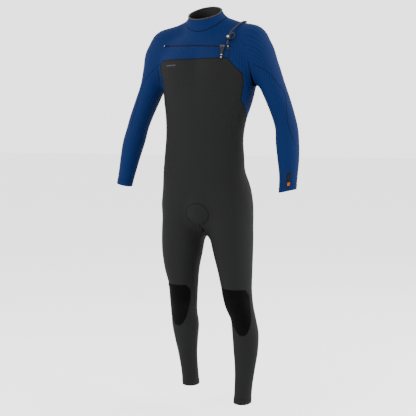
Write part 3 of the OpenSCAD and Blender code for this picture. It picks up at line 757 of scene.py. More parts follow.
def material(name):
    """Empty material and the wire that its nodes start from."""
    made = FINISHES[name] = bpy.data.materials.new("suit_" + name)
    made.use_nodes = True
    made.node_tree.nodes.clear()
    return Wire(made.node_tree)


def surface(wire, base, roughness, normal=None, **plain):
    """Principled surface; plain values are set on their own sockets."""
    inputs = {"Base Color": base if isinstance(base, Wire) else (*base, 1), "Roughness": roughness}
    if normal:
        inputs["Normal"] = normal
    for key, value in plain.items():
        inputs[key.replace("_", " ").title().replace("Ior", "IOR")] = value
    shader = wire.node("BsdfPrincipled", None, inputs)
    output = wire.tree.nodes.new("ShaderNodeOutputMaterial")
    wire.tree.links.new(shader.socket, output.inputs["Surface"])


def knit(name, rgb, rib, dark, sheen):
    """Knitted face of the foam: upright ribs, jersey stitches and soft random changes of tone; the colour is
    darkened in the grooves between the ribs and the stitches as painted shade.
    """
    wire = material(name)
    u, v = wire.across()
    stitch = u.wave(0.0011) * (v + u.wave(0.0011) * 0.0003).wave(0.0009)
    cloud = wire.noise(7.0, 2.0)
    grain = wire.noise(1500.0, 2.0)
    if rib:
        rail = u.wave(rib).over(0.45, 0.8) * 0.6 + u.wave(rib / 2).over(0.5, 0.6) * 0.4
        # Colour darker in the grooves between the ribs and the stitches: painted shade; the cloud adds
        # random tone.
        tone_and_groove_shade = rail * 0.44 + stitch * 0.14 + cloud * 0.30 + 0.12
        height = rail + stitch * 0.12
        depth = 0.00045
    else:
        # Colour darker between the stitches: painted shade; the fine stripes and the cloud add tone.
        tone_and_groove_shade = u.wave(0.0022) * 0.10 + stitch * 0.25 + cloud * 0.45
        height = stitch * 0.8 + grain * 0.5
        depth = 0.00012
    # The dark end of the blend holds the painted shade of the grooves as well as the darker random tone.
    base = (tone_and_groove_shade + grain * 0.14 - 0.06).blend(tinted(rgb, dark), tinted(rgb, 1.22))
    normal = wire.bump(height, depth, 0.9)
    surface(wire, base, 0.70 + cloud * 0.12, normal, sheen_weight=sheen, sheen_roughness=0.5,
            sheen_tint=(*tinted(rgb, 9), 1), specular_ior_level=0.06)


def rubber(name, rgb):
    """Moulded knee pad: fine staggered dimples in a dull rubber."""
    wire = material(name)
    u, v = wire.across()
    dots = u.wave(0.0042) * v.wave(0.0042) + u.wave(0.0042, math.pi) * v.wave(0.0042, math.pi)
    grain = wire.noise(900.0, 3.0)
    scuff = wire.noise(24.0, 5.0).over(0.62, 0.25)
    base = (scuff * 0.35 + grain * 0.25).blend(rgb, tinted(rgb, 3.0))
    surface(wire, base, 0.6 + scuff * 0.16 + grain * 0.08, wire.bump(dots + grain * 0.15, 0.00025, 0.8),
            specular_ior_level=0.03)


def plush(name, rgb):
    """Inside lining: a brushed grid of small squares."""
    wire = material(name)
    u, v = wire.across()
    squares = u.wave(0.006).over(0.25, 0.3) * v.wave(0.006).over(0.25, 0.3)
    fuzz = wire.noise(1100.0, 4.0)
    base = (squares * 0.4 + fuzz * 0.5).blend(tinted(rgb, 0.6), tinted(rgb, 1.8))
    surface(wire, base, 0.9, wire.bump(squares + fuzz * 0.4, 0.0004, 0.7), specular_ior_level=0.05)


def thread(name, rgb):
    """Flat seam: slanting stitches across a ribbon whose UV runs along it."""
    wire = material(name)
    u, v = wire.across()
    stitch = (u + v * 0.7).wave(0.0021)
    edge = wire.noise(700.0, 2.0)
    base = (stitch * 0.7 + edge * 0.3).blend(tinted(rgb, 0.6), tinted(rgb, 1.7))
    surface(wire, base, 0.72, wire.bump(stitch.over(0.4, 0.6), 0.0003, 0.9),
            specular_ior_level=0.05)


def woven(name, rgb, pitch, slant=0.5, depth=0.00025, high_spot_tint=2.2):
    """Webbing and tape: a herringbone of slanting yarns, lighter in colour where the yarns stand high."""
    wire = material(name)
    u, v = wire.across()
    zigzag = (v + u.wave(pitch * 8) * pitch * slant * 4).wave(pitch)
    yarn = u.wave(pitch * 0.5)
    fuzz = wire.noise(1300.0, 3.0)
    # Colour lighter on the raised zigzag and yarns, following the bump's height.
    base = (zigzag * 0.5 + yarn * 0.2 + fuzz * 0.3).blend(tinted(rgb, 0.55), tinted(rgb, high_spot_tint))
    surface(wire, base, 0.74 + fuzz * 0.12, wire.bump(zigzag + yarn * 0.4 + fuzz * 0.2, depth, 0.9),
            specular_ior_level=0.12)


def braid(name, rgb):
    """Round cord: two families of strands that cross on a spiral."""
    wire = material(name)
    u, v = wire.across()
    one = (u + v * 1.15).wave(0.0024)
    two = (u - v * 1.15).wave(0.0024)
    strands = wire.math("MAXIMUM", one, two)
    fleck = wire.noise(800.0, 3.0)
    base = (strands * 0.6 + fleck * 0.4).blend(tinted(rgb, 0.4), tinted(rgb, 1.9))
    surface(wire, base, 0.7 + fleck * 0.15, wire.bump(strands + fleck * 0.2, 0.0004, 1.0),
            specular_ior_level=0.12)


def moulded(name, rgb, rough, scale=1600.0, metallic=0.0, scratch=0.0):
    """Plastic or metal: fine grain, faint cloudy gloss and, on metal, long scratches."""
    wire = material(name)
    grain = wire.noise(scale, 3.0)
    cloud = wire.noise(60.0, 3.0)
    height = grain * 0.5
    if scratch:
        place = wire.node("Mapping", None, {0: wire.node("TexCoord", out=3), 3: (60, 900, 900)})
        lines = wire.noise(1.0, 4.0, 0.7, place)
        height = height + lines * scratch
        cloud = cloud * 0.6 + lines * 0.4
    base = cloud.blend(tinted(rgb, 0.72), tinted(rgb, 1.3))
    surface(wire, base, rough - 0.08 + cloud * 0.2, wire.bump(height, 0.00006, 0.6), metallic=metallic,
            specular_ior_level=0.5 if metallic else 0.15)


def label(name, rgb, accent):
    """Woven label: dark field with plain bars and a bright block at its lower end; v runs from its top."""
    wire = material(name)
    u, v = wire.across()
    weave = u.wave(0.0007) * v.wave(0.0007)
    fuzz = wire.noise(1200.0, 2.0)
    bars = (v.wave(0.0052).over(0.55, 0.2) * v.over(0.006, 0.001) * (1 - v.over(0.031, 0.001))
            * u.over(0.003, 0.0006) * (1 - u.over(0.0095, 0.0006)))
    block = v.over(0.034, 0.0008) * (1 - v.over(0.0465, 0.0008)) * u.over(0.0025, 0.0006)
    base = (bars * 0.5 + weave * 0.1).blend(rgb, tinted(rgb, 9))
    base = (block * 0.95).blend(base, accent)
    surface(wire, base, 0.75 + fuzz * 0.1, wire.bump(weave + bars * 0.5, 0.0001, 0.8),
            specular_ior_level=0.1)


def printed(name, rgb, ground):
    """Screen print: a row of plain strokes in thin ink that the knit shows through in specks."""
    wire = material(name)
    u, v = wire.across()
    strokes = (u + v * 0.6).wave(0.0062).over(0.42, 0.2)
    speck = wire.noise(1400.0, 3.0).over(0.38, 0.2)
    base = (strokes * speck).blend(ground, rgb)
    surface(wire, base, 0.6 + speck * 0.1, wire.bump(strokes * 0.5 + speck * 0.2, 0.0001, 0.6),
            specular_ior_level=0.1)


# ---------------------------------------------------------------- operators


class SuitOperator(bpy.types.Operator):
    bl_options = {"REGISTER"}

    def execute(self, context):
        self.build()
        return {"FINISHED"}


class WETSUIT_OT_materials(SuitOperator):
    """Makes the materials from the colour settings"""

    bl_idname = "wetsuit.materials"
    bl_label = "Materials"

    def build(self):
        c = colours()
        knit("blue_fabric", c.blue, sizes().rib, 0.45, 0.04)
        knit("charcoal_fabric", c.charcoal, 0, 0.72, 0.02)
        rubber("knee_rubber", c.rubber)
        plush("lining", c.lining)
        thread("thread", (0.0016, 0.0015, 0.0014))
        thread("navy_thread", (0.0003, 0.0012, 0.006))
        woven("binding", c.binding, 0.0016, 0.3, 0.00008, 1.4)
        woven("zip_tape", (0.0015, 0.0015, 0.0017), 0.0012)
        woven("webbing", c.webbing, 0.0014, 0.6, 0.0003)
        braid("cord", c.cord)
        moulded("zip_plastic", c.plastic, 0.42)
        moulded("lock_plastic", c.plastic, 0.38, 1100.0)
        moulded("steel", c.steel, 0.32, 2200.0, 1.0, 0.8)
        moulded("gunmetal", c.gunmetal, 0.36, 2200.0, 1.0, 0.6)
        label("label", (0.0012, 0.0012, 0.0012), tuple(c.accent))
        printed("print_grey", tuple(c.print_grey), tuple(c.charcoal))


class WETSUIT_OT_neck(SuitOperator):
    """Builds the collar, its rim binding, the inner seal and the seam at its foot"""

    bl_idname = "wetsuit.neck"
    bl_label = "Neck"

    def build(self):
        a = np.linspace(0, 360, 145)[:-1]
        ribs = np.linspace(0, 46 * sizes().rib / MM, 145)
        v = (1 - BINDING) * (1 - spread(60))
        grid = collar_at(a, v[:, None])
        cloth("collar", grid, chest, "blue_fabric", ring=True, dips=(0.3, 0.8, 0, 0), u=ribs)
        top = 1.0 + 0.010
        levels = np.array([1 - BINDING, 1 - BINDING * 0.8, 1 - BINDING * 0.4, 1, top, top + 0.006, top, 1,
                           1 - BINDING * 0.5, 1 - BINDING])
        depths = np.array([0.1, 1.0, 1.15, 1.0, 0.2, -2.0, -4.4, -5.3, -5.5, -4.6])
        grid = collar_at(a, levels[:, None])
        loop = (grid + outward(grid, chest) * depths[:, None, None])
        v = 1.2 * np.arange(1, len(depths) + 1)[:, None] * MM
        settle(fold("collar_binding", loop, True, np.linspace(0, 415, 145) * MM, v, ("binding",), sharp=70),
               "suit", "binding", "collar_binding")
        levels = np.linspace(0.98 - BINDING, 0.02, 12)[:, None]
        cloth("neck_seal", collar_at(a, levels), chest, "lining", ring=True, proud=-5.2, thick=1.5, u=ribs)
        seam("collar_seam", collar_at(a, np.zeros(1)), chest, "suit", finish="navy_thread", width=2.2,
             closed=True)


class WETSUIT_OT_shoulders(SuitOperator):
    """Builds the neck flap, shoulders, yoke, chest band and upper back"""

    bl_idname = "wetsuit.shoulders"
    bl_label = "Shoulders"

    def between(self, name, tops, lows, rows, dips):
        """Panel whose columns run from one seam to the other, pressed onto the form."""
        v = spread(rows)[:, None, None]
        p = mix(tops, lows, v)
        grid = toward(p * [0.6, 0, 0] + [0, 8, -150], p, chest)
        cloth(name, grid, chest, "blue_fabric", dips=dips, u=grid[..., 0])

    def build(self):
        w = spread(2 * YOKE_REACH) * 2 - 1
        x = w * YOKE_REACH
        tops = collar_at(w * FLAP_A, np.zeros(1))
        lows = facing(-1, x, flap_z(x) + slot_half(x))
        self.between("neck_flap", tops, lows, 92, (0.8, 0.5, 0.3, 0.3))
        lows = facing(1, -x, YOKE_BACK)
        tops = collar_at(mix(YOKE_A, 360 - YOKE_A, (w + 1) / 2), np.zeros(1))
        self.between("back_yoke", tops, lows, 100, (0.8, 0.5, 0.3, 0.3))
        for side, s in SIDES.items():
            x = float(s * YOKE_REACH)
            ends = [facing(-1, x, flap_z(x)), facing(1, x, YOKE_BACK)]
            lean = armhole_lean(s)
            centre = ARMPIT[s] + HEAD_REACH * vec(s * cos(lean), 0, sin(lean))
            span = [math.degrees(math.acos((centre[1] - e[1]) / np.linalg.norm(e - centre))) for e in ends]
            share = spread(200)[::s]
            outer = head_ring(s, mix(span[0], span[1], share), np.zeros(1))
            inner = collar_at(s * mix(FLAP_A, YOKE_A, share), np.zeros(1))
            self.between("shoulder_" + side, inner, outer, 120, (0.8, 0.3, 0.3, 0.3))
        x = np.unique(np.concatenate([np.linspace(-189, 189, 64), [-168, -167, -148, 122, 168, 169]]))
        low = np.where(np.abs(x) > np.where(x > 0, 168.5, 167.5), PIT, panel_top(x))
        z = mix(flap_z(x) - slot_half(x), low, spread(60)[:, None])
        edge = np.abs(np.where(x > 0, armhole_x(1, z), armhole_x(-1, z)))
        grid = facing(-1, np.sign(x) * np.minimum(np.abs(x), edge), z)
        cloth("chest_band", grid, chest, "blue_fabric", dips=(0.5, 0.6, 0.3, 0.3), u=grid[..., 0])
        z = mix(YOKE_BACK, PIT, spread(152))[:, None]
        u = 1 - 2 * spread(370)
        edge = np.where(u > 0, armhole_x(1, z), -armhole_x(-1, z))
        grid = facing(1, u * edge, z)
        cloth("upper_back", grid, chest, "blue_fabric", dips=(0.5, 0.3, 0.3, 0.3), u=grid[..., 0])


class WETSUIT_OT_trunk(SuitOperator):
    """Builds the front panel, sides, waist and back"""

    bl_idname = "wetsuit.trunk"
    bl_label = "Trunk"

    def panel(self, name, a, z, finish, dips):
        grid = trunk(a, z)
        u = np.broadcast_to(np.radians(a) * TRUNK_RADIUS, grid.shape[:2])
        cloth(name, grid, body, finish, dips=dips, u=u)

    def build(self):
        u = np.unique(np.concatenate([spread(400) * 2 - 1, [-0.885, 0.72]]))
        top = np.full(u.shape, -150.0)
        for _ in range(6):
            top = panel_top(trunk(u * PANEL_A, top)[..., 0])
        z = mix(top, WAIST, spread(200)[:, None])
        half = np.where(u > 0, panel_half(1, z), panel_half(-1, z))
        self.panel("front_panel", u * half, z, "charcoal_fabric", (0.6, 0, 0.6, 0.6))
        for side, s in SIDES.items():
            w = mix(SIDE_A[s], BACK_A, spread(160))[::s]
            z = mix(PIT, np.interp(w, [SIDE_A[s], 90], [FLARE, WAIST]), spread(110)[:, None])
            edge = (0.6, 0.3)[::s]
            self.panel("side_panel_" + side, s * w + 0 * z, z, "blue_fabric", (0.3, 0.6, *edge))
        z = mix(PIT, WAIST, spread(112))[:, None]
        a = mix(BACK_A, 360 - BACK_A, spread(260)) + 0 * z
        self.panel("middle_back", a, z, "blue_fabric", (0.3, 0.6, 0.3, 0.3))
        a = mix(-90, 90, spread(480, fine=False))
        z = mix(WAIST, groin_z(a), spread(380, fine=False)[:, None])
        self.panel("waist_panel", a + 0 * z, z, "charcoal_fabric", (0, 0, 0, 0))
        a = mix(90, 270, spread(480, fine=False))
        z = mix(WAIST, SEAT, spread(208))[:, None]
        self.panel("lower_back", a + 0 * z, z, "charcoal_fabric", (0.6, 0.5, 0, 0))
        z = mix(SEAT, groin_z(a), spread(180)[:, None])
        self.panel("seat_panel", a + 0 * z, z, "charcoal_fabric", (0.5, 0.0, 0, 0))


class WETSUIT_OT_groin(SuitOperator):
    """Builds the cup in front and the gusset under the crotch"""

    bl_idname = "wetsuit.groin"
    bl_label = "Groin"

    def build(self):
        a = np.linspace(360, 0, 73)[:-1]
        r = np.array([0.02, 0.15, 0.3, 0.45, 0.6, 0.72, 0.82, 0.9, 0.95, 0.98, 1.0])[:, None]
        grid = leave(vec(-2 + 46 * r * sin(a), -20, -709 + 40 * r * cos(a)), vec(0, -1, 0), pelvis)
        n = outward(grid, pelvis)
        crown = (2.6 * (1 - r ** 5) + 0.15)[..., None]
        loop = np.concatenate([grid + n * crown, (grid - n * 0.6)[::-1]])
        settle(fold("cup_panel", loop, True, np.linspace(0, 260, 73) * MM,
                    np.concatenate([r, r[::-1]]) * 40 * MM, ("charcoal_fabric",), sharp=70),
               "suit", "charcoal_fabric", "cup_panel")
        seam("cup_seam", grid[-1], pelvis, "suit", width=3.0, proud=0.7, closed=True)
        x = np.linspace(-12, 12, 9)
        b = np.linspace(-34, 40, 28)[:, None]
        grid = leave(vec(x, 4 + 0 * b, -715), vec(0, sin(b) + 0 * x, -cos(b)), pelvis)
        cloth("crotch_gusset", grid[:, ::-1], pelvis, "charcoal_fabric", proud=0.9, thick=1.4)


class WETSUIT_OT_sleeves(SuitOperator):
    """Builds the sleeves from the armholes to the wrist cuffs"""

    bl_idname = "wetsuit.sleeves"
    bl_label = "Sleeves"

    def build(self):
        cols = 73
        ribs = np.linspace(0, 32 * sizes().rib / MM, cols)
        for side, s in SIDES.items():
            a = np.linspace(0, 360, cols)[:-1]
            lower = "lower_arm_" + side
            v = np.concatenate([spread(120), np.linspace(1, 2, 9)[1:]])[:, None]
            self.tube("sleeve_head_" + side, head_ring(s, a, v), chest, s, ribs, "suit", (0.3, 0, 0, 0))
            for name, top, low, rider in (("upper_sleeve_", SLEEVE, ELBOW_TOP, "suit"),
                                          ("elbow_", ELBOW_TOP, ELBOW_LOW, elbow(side)),
                                          ("forearm_", ELBOW_LOW, CUFF[s] + HEM_DEPTH, lower)):
                z = mix(top, low, spread(top - low, fine=False))[:, None]
                self.tube(name + side, arm_ring(s, a, z), ARMS[s], s, ribs, rider, (0, 0, 0, 0))
            hem(lambda z: arm_ring(s, a, z), ARMS[s], s, CUFF[s], "wrist_cuff_" + side, "blue_fabric",
                ribs, lower)

    def tube(self, name, grid, form, s, ribs, rider, dips):
        cloth(name, grid[:, ::s], form, "blue_fabric", rider, ring=True, dips=dips, u=ribs)


def hem(ring, form, s, end, name, finish, u, rider):
    """Turned-up end of a sleeve or leg: a thicker band with a rolled lower edge."""
    top = end + HEM_DEPTH
    z = np.array([top, top - 0.8, top - 2.2, top - 5, *np.linspace(top - 9, end + 3, 4),
                  end + 1.0, end + 0.2, end + 0.2, end + 1.2, end + 4, end + 10, top])
    d = np.array([-0.9, -0.5, 0.35, 0.6, *[0.6] * 4, 0.3, -1.0, -3.2, -4.4, -4.6, -4.2, -4.0])
    grid = ring(z[:, None])
    loop = grid + outward(grid, form) * d[:, None, None]
    inner = np.arange(len(z)) >= 10
    inner[-1] = False
    v = run_lengths(grid, 0).mean(1)[:, None] * MM
    settle(fold(name, loop[:, ::s], True, u * MM, v, (finish, "lining"), inner, 70), rider, finish, name)


class WETSUIT_OT_legs(SuitOperator):
    """Builds the legs from the groin to the ankle hems, with the knee pads"""

    bl_idname = "wetsuit.legs"
    bl_label = "Legs"

    def build(self):
        cols = 97
        for side, s in SIDES.items():
            a = np.linspace(0, 360, cols)[:-1]
            u = np.linspace(0, 396, cols)
            upper, lower = "upper_leg_" + side, "lower_leg_" + side
            for name, top, low, rider in (("hip_", hip_z(s), THIGH, hip(side)),
                                          ("thigh_", THIGH, KNEE_TOP, upper),
                                          ("knee_", KNEE_TOP, KNEE_LOW, knee(side)),
                                          ("shin_", KNEE_LOW, HEM[s] + HEM_DEPTH, lower)):
                z = mix(top, low, spread(top - low, fine=False))[:, None]
                grid = leg_ring(s, a, z)[:, ::s]
                cloth(name + side, grid, LEG_FORM[s], "charcoal_fabric", rider, ring=True, u=u)
            hem(lambda z: leg_ring(s, a, z), LEG_FORM[s], s, HEM[s], "ankle_hem_" + side,
                "charcoal_fabric", u, lower)
            self.pad(side, s, {1: 8, -1: -12}[s])

    def pad(self, side, s, turn):
        """Crowned pad: its half-width follows its outline, and its height falls off near its edges."""
        z = mix(PAD_TOP, PAD_FOOT, spread(PAD_TOP - PAD_FOOT, 4))
        half = np.interp(z, [PAD_FOOT, -1155, -1146, -1129, -1110, -1085, -1050, -1006, -990, PAD_TOP],
                         [10, 15, 26, 37, 44, 48.5, 51, 51, 45, 41])
        share = spread(100, 4) * 2 - 1
        a = turn + share * np.degrees(np.arcsin(half / 54))[:, None] * 0.92
        limb = LEGS[s]
        grid = leave(limb.middle(z[:, None] + 0 * a), level(a), LEG_FORM[s])
        n = outward(grid, LEG_FORM[s])
        away = np.minimum(np.minimum(PAD_TOP - z, z - PAD_FOOT)[:, None],
                          (1 - np.abs(share)) * half[:, None])
        crown = 0.15 + (sizes().pad - 0.15) * ease(away / 3.0 + 0.15)
        loop = np.concatenate([grid + n * crown[..., None], (grid - n * 0.6)[::-1]])
        v = np.concatenate([z, z[::-1]])[:, None] * -MM
        u = np.concatenate([half[:, None] * share, (half[:, None] * share)[::-1]]) * MM
        settle(fold("knee_pad_" + side, loop, False, u, v, ("knee_rubber",), sharp=60),
               knee(side), "knee_rubber", "knee_pad_" + side)


class WETSUIT_OT_zip(SuitOperator):
    """Builds the zip's coils, tapes and garage, and gives its slider and stops their metal"""

    bl_idname = "wetsuit.zip"
    bl_label = "Zip"

    def build(self):
        x = np.linspace(*ZIP_ENDS, 70)
        for name, rise in (("upper", (12, 1)), ("lower", (-1, -12))):
            dz = np.linspace(*rise, 3)[:, None]
            grid = facing(-1, x + 0 * dz, flap_z(x) + dz)
            cloth("zip_tape_" + name, grid, chest, "zip_tape", proud=-3.4, thick=0.8, u=x)
        pitch = sizes().coil
        turns = int((ZIP_ENDS[1] - ZIP_ENDS[0]) / pitch)
        t = np.linspace(0, turns, turns * 9 + 1)
        base = mix(ZIP_ENDS[0], ZIP_ENDS[1], t / turns)
        line = facing(-1, base, flap_z(base))
        n = outward(line, chest)
        along = np.gradient(line, axis=0)
        along /= np.linalg.norm(along, axis=1, keepdims=True)
        up = np.cross(along, n) * np.sign(np.cross(along, n)[0, 2])
        parts = []
        for sign in (1, -1):
            turn = 2 * np.pi * t + (0 if sign > 0 else np.pi)
            path = (line + up * (sign * 0.75 + 0.95 * np.cos(turn))[:, None]
                    + n * (0.75 * np.sin(turn) - 0.7)[:, None])
            parts.append(sweep("coil", path, 0.42, "zip_plastic", 5))
        settle(join("zip_coils", parts), "suit", "zip_plastic", "zip_coils")
        x = np.linspace(112.5, 124.5, 9)
        dz = np.linspace(-3, -12, 7)[:, None]
        grid = facing(-1, x + 0 * dz, flap_z(x) + dz)
        cloth("zip_garage", grid, chest, "webbing", slot="zip_plastic", proud=1.1, thick=1.2, u=x)
        for node, finish in (("zip_slider", "gunmetal"), ("zip_end_stops", "steel")):
            dress(node, finish)


def dress(node, finish):
    """Gives a CAD node that is shown as it is its material."""
    mesh = frame["nodes"][node].data
    mesh.materials.clear()
    mesh.materials.append(FINISHES[finish])


def join(name, parts):
    """One object from several, as its own mesh at the origin."""
    with bpy.context.temp_override(active_object=parts[0], selected_editable_objects=parts):
        bpy.ops.object.join()
    parts[0].name = parts[0].data.name = name
    return parts[0]


class WETSUIT_OT_pull(SuitOperator):
    """Builds the zip pull: webbing with two studs near its end"""

    bl_idname = "wetsuit.pull"
    bl_label = "Zip pull"
    lean = 20
    drop = 8.0
    length = 44.0
    width = 13.0
    thick = 3.2

    def build(self):
        x = -np.array(JOINTS["pull_swing"]["axis"])
        upright = np.array(JOINTS["zip_travel"]["axis"])
        y = np.cross(upright, x)
        down = -(cos(self.lean) * upright + sin(self.lean) * y)
        depth = cos(self.lean) * y - sin(self.lean) * upright
        bar = np.array(JOINTS["pull_swing"]["pos_m"])
        dress("pull_ring", "gunmetal")
        t = np.array([0, 0.4, 1.2, 3, 6, 9, *np.linspace(12, self.length - 8, 10),
                      self.length - 5, self.length - 2.5, self.length - 0.8, self.length])
        swell = np.interp(t, [0, 1.2, 6, 9, 12, 30, 37, self.length - 2.5, self.length],
                          [0.80, 0.98, 1.0, 0.86, 0.78, 0.78, 0.84, 0.80, 0.55])
        fat = np.interp(t, [0, 1.2, 6, 12, 30, self.length - 2, self.length],
                        [0.5, 1, 1, 0.8, 0.8, 0.85, 0.4])
        a = np.linspace(0, 2 * np.pi, 33)[:-1]
        rows = ((self.width / 2 * swell[:, None] * rounded(np.cos(a)))[..., None] * x
                + (self.thick / 2 * fat[:, None] * rounded(np.sin(a)))[..., None] * depth
                + (self.drop - 2.4 + t)[:, None, None] * down)
        strap = barrel("pull_strap", rows * MM + bar, "webbing", 50, np.linspace(0, 32, 33) * MM,
                       t[:, None] * MM, scale=1)
        settle(outside(strap), "pull", "webbing", "pull_strap")
        studs = []
        profile = np.array([(0.01, 1.15), (0.9, 1.05), (1.4, 0.8), (1.8, 0.7), (2.1, 0.3), (2.1, -0.5),
                            (0.01, -0.5)]) * MM / SCALE[0]
        for place in (0.64, 0.87):
            origin = bar + (down * (self.drop - 2.4 + self.length * place) - depth * self.thick * 0.32) * MM
            studs.append(turned("stud", profile, origin / SCALE, -depth, "steel", 28))
        settle(outside(join("pull_studs", studs)), "pull", "metal")


ROUTE = [(118, -90, -88), (117, -86.5, -83), (117, -80.5, -74), (117, -74.5, -65), (117, -68.5, -56),
         (117, -62.5, -47), (119, -57.5, -40), (123.5, -52, -33), (129, -45, -25), (135, -34.5, -16),
         (140, -22, -8), (143.5, -9, -2), (146, 3, 0.5)]
LOCK = 3


class WETSUIT_OT_cord(SuitOperator):
    """Builds the drawcord, its anchor, and the cord lock with its button and loop of spare cord"""

    bl_idname = "wetsuit.cord"
    bl_label = "Drawcord"

    def build(self):
        path = curve_through(ROUTE, 2.0)
        settle(outside(sweep("drawcord", path, sizes().cord / 2, "cord", 16)), "suit", "cord", "drawcord")
        anchor = np.array(ROUTE[-1]) + [0, 4.8, -0.2]
        settle(block("cord_anchor", anchor, (16, 8, 7), "webbing"), "suit", "webbing", "cord_anchor")
        centre = np.array(ROUTE[LOCK], float)
        axis = np.subtract(ROUTE[LOCK + 1], ROUTE[LOCK - 1], dtype=float)
        profile = [(3.1, -9.5), (4.6, -9.5), (6.2, -8.9), (7.1, -7.6), (7.4, -5.6), (7.4, -3.4), (6.9, -3.0),
                   (6.9, -2.4), (7.4, -2.0), (7.45, 2.0), (6.9, 2.4), (6.9, 3.0), (7.4, 3.4), (7.4, 5.6),
                   (7.1, 7.6), (6.2, 8.9), (4.6, 9.5), (3.1, 9.5)]
        lock = outside(turned("cord_lock_body", profile, centre, axis, "lock_plastic", 56, hole=True))
        settle(lock, "cord_lock", "lock_plastic", "cord_lock_body")
        press_way = np.array(JOINTS["button_press"]["axis"])
        seat = centre - press_way * 7.5
        profile = [(0.01, 4.2), (1.6, 4.05), (3.0, 3.6), (3.9, 2.9), (4.35, 2.0), (4.45, 1.0), (4.45, -0.8),
                   (0.01, -0.8)]
        button = outside(turned("cord_lock_button", profile, seat, -press_way, "steel", 40))
        settle(button, "button", "metal", "cord_lock_button")
        self.spring(-press_way)
        loop = curve_through([(118, -69, -55), (121, -67, -49), (127, -62, -45), (132, -58, -48),
                              (133.5, -57.5, -55), (130.5, -60, -62), (126, -63.5, -66),
                              (121.5, -68, -67)], 1.5)
        settle(outside(sweep("cord_loop", loop, 1.7, "cord")), "cord_lock", "cord")

    def spring(self, axis):
        """Helix of wire between the lock's seat and the button."""
        low, high = (np.array(corner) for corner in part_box("cord_lock_spring"))
        middle = (low + high) / 2 / MM
        x = np.array([1.0, 0, 0])
        y = np.cross(axis, x)
        t = np.linspace(0, 3 * 2 * np.pi, 109)[:, None]
        rise = np.linspace(-1.15, 1.15, 109)[:, None]
        path = middle + 2.9 * (np.cos(t) * x + np.sin(t) * y) + rise * axis
        piece = outside(sweep("cord_lock_spring", path, 0.22, "steel", 8, scale=MM))
        settle(piece, "cord_lock", "metal", "cord_lock_spring")
        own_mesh(piece)


def block(name, centre, size, finish):
    """Rounded block: a ball whose sines and cosines are rounded, so that it fills its box."""
    a = np.linspace(-np.pi / 2, np.pi / 2, 17)[:, None]
    b = np.linspace(0, 2 * np.pi, 33)[:-1]
    flat = rounded(np.cos(a))
    points = np.stack([flat * rounded(np.cos(b)), flat * rounded(np.sin(b)), rounded(np.sin(a)) + 0 * b], -1)
    rings = points[1:-1] * np.array(size) / 2 + centre
    x, y, z = np.moveaxis(np.concatenate([rings, rings[:, :1]], 1) * MM, -1, 0)
    return outside(barrel(name, rings, finish, 50, x, y + z))


class WETSUIT_OT_seams(SuitOperator):
    """Lays the stitched seams that show on the chest, back, sleeves and legs"""

    bl_idname = "wetsuit.seams"
    bl_label = "Seams"

    def build(self):
        x = np.linspace(-168, 168, 140)
        top = facing(-1, x, panel_top(x))
        edges = []
        for s in (-1, 1):
            z = np.linspace(CORNERS[s][1][1], WAIST, 56)[1:]
            edges.append(trunk(s * panel_half(s, z), z))
        outline = np.concatenate([edges[0][::-1], top[2:-2], edges[1]])
        seam("front_panel_seam", resample(outline, 3.5), body, "suit", width=2.6)
        z = np.linspace(flap_z(123.0) - 1, -138.5, 16)
        seam("zip_end_seam", facing(-1, np.linspace(123, 128, 16), z), chest, "suit", finish="navy_thread",
             width=2.0)
        for side, s in SIDES.items():
            a = np.linspace(20, 62, 26) if s > 0 else np.linspace(24, 62, 24)
            seam("armpit_seam_" + side, head_ring(s, -a, np.zeros(1)), chest, "suit", width=2.6)
            seam("sleeve_seam_" + side, curve_through(SLEEVE_SEAMS[s], 4), arm_form(s), elbow(side),
                 finish="navy_thread", width=1.8)
        x = np.linspace(-0.97, 0.97, 80) * YOKE_REACH
        seam("yoke_seam", facing(1, x, YOKE_BACK), chest, "suit", finish="navy_thread", width=2.0)
        leg = curve_through([(-20, -66, -775), (-30, -58, -870), (-38, -46, -990), (-45, -26, -1070),
                             (-52, -2, -1150), (-64, 18, -1230), (-75, 32, -1300), (-80, 44, -1390)], 4)
        for name, low, high, rider in (("thigh", 0, -KNEE_TOP, "upper_leg_right"),
                                       ("knee", -KNEE_TOP, -KNEE_LOW, knee("right")),
                                       ("shin", -KNEE_LOW, 1500, "lower_leg_right")):
            part = leg[(-leg[:, 2] >= low - 3) & (-leg[:, 2] <= high + 3) & (leg[:, 2] < THIGH - 2)]
            seam("leg_seam_" + name, part, right_leg, rider, width=1.8)


SLEEVE_SEAMS = {
    1: [(204, -58, -160), (236, -54, -176), (263, -43, -194), (291, -26, -235), (309, -10, -263),
        (318, -14, -300), (322, -17, -342), (328, -17, -382), (342, -14, -421), (352, -9, -450)],
    -1: [(-172, -69, -149), (-200, -64, -168), (-227, -56, -190), (-251, -50, -215), (-270, -50, -262),
         (-286, -52, -318), (-298, -55, -352), (-306, -57, -384)]}


def arm_form(s):
    """Form of one arm with the chest above the elbow."""
    return lambda p: np.where(p[:, 2] > -250, chest(p), ARMS[s](p))


def resample(path, step):
    """Even points along a path that keeps its corners."""
    length = run_lengths(path, 0)
    at = np.linspace(0, length[-1], int(length[-1] / step) + 1)
    return np.stack([np.interp(at, length, path[:, i]) for i in range(3)], -1)


class WETSUIT_OT_trims(SuitOperator):
    """Builds the sleeve label and the printed mark on the chest"""

    bl_idname = "wetsuit.trims"
    bl_label = "Trims"

    def build(self):
        z = mix(-553, -602, np.linspace(0, 1, 26))[:, None]
        a = np.linspace(11, 31, 12)
        grid = arm_ring(1, a + 0 * z, z + 0 * a)
        cloth("wrist_tag", grid, ARMS[1], "label", "lower_arm_left", proud=1.9, thick=1.4)
        x = np.linspace(-124, -77, 24)
        z = np.array([-156.5, -158, -160, -161.5])[:, None]
        grid = facing(-1, x + 0 * z, z + 0 * x)
        cloth("chest_mark", grid, chest, "print_grey", proud=0.35, thick=0.6, u=x)


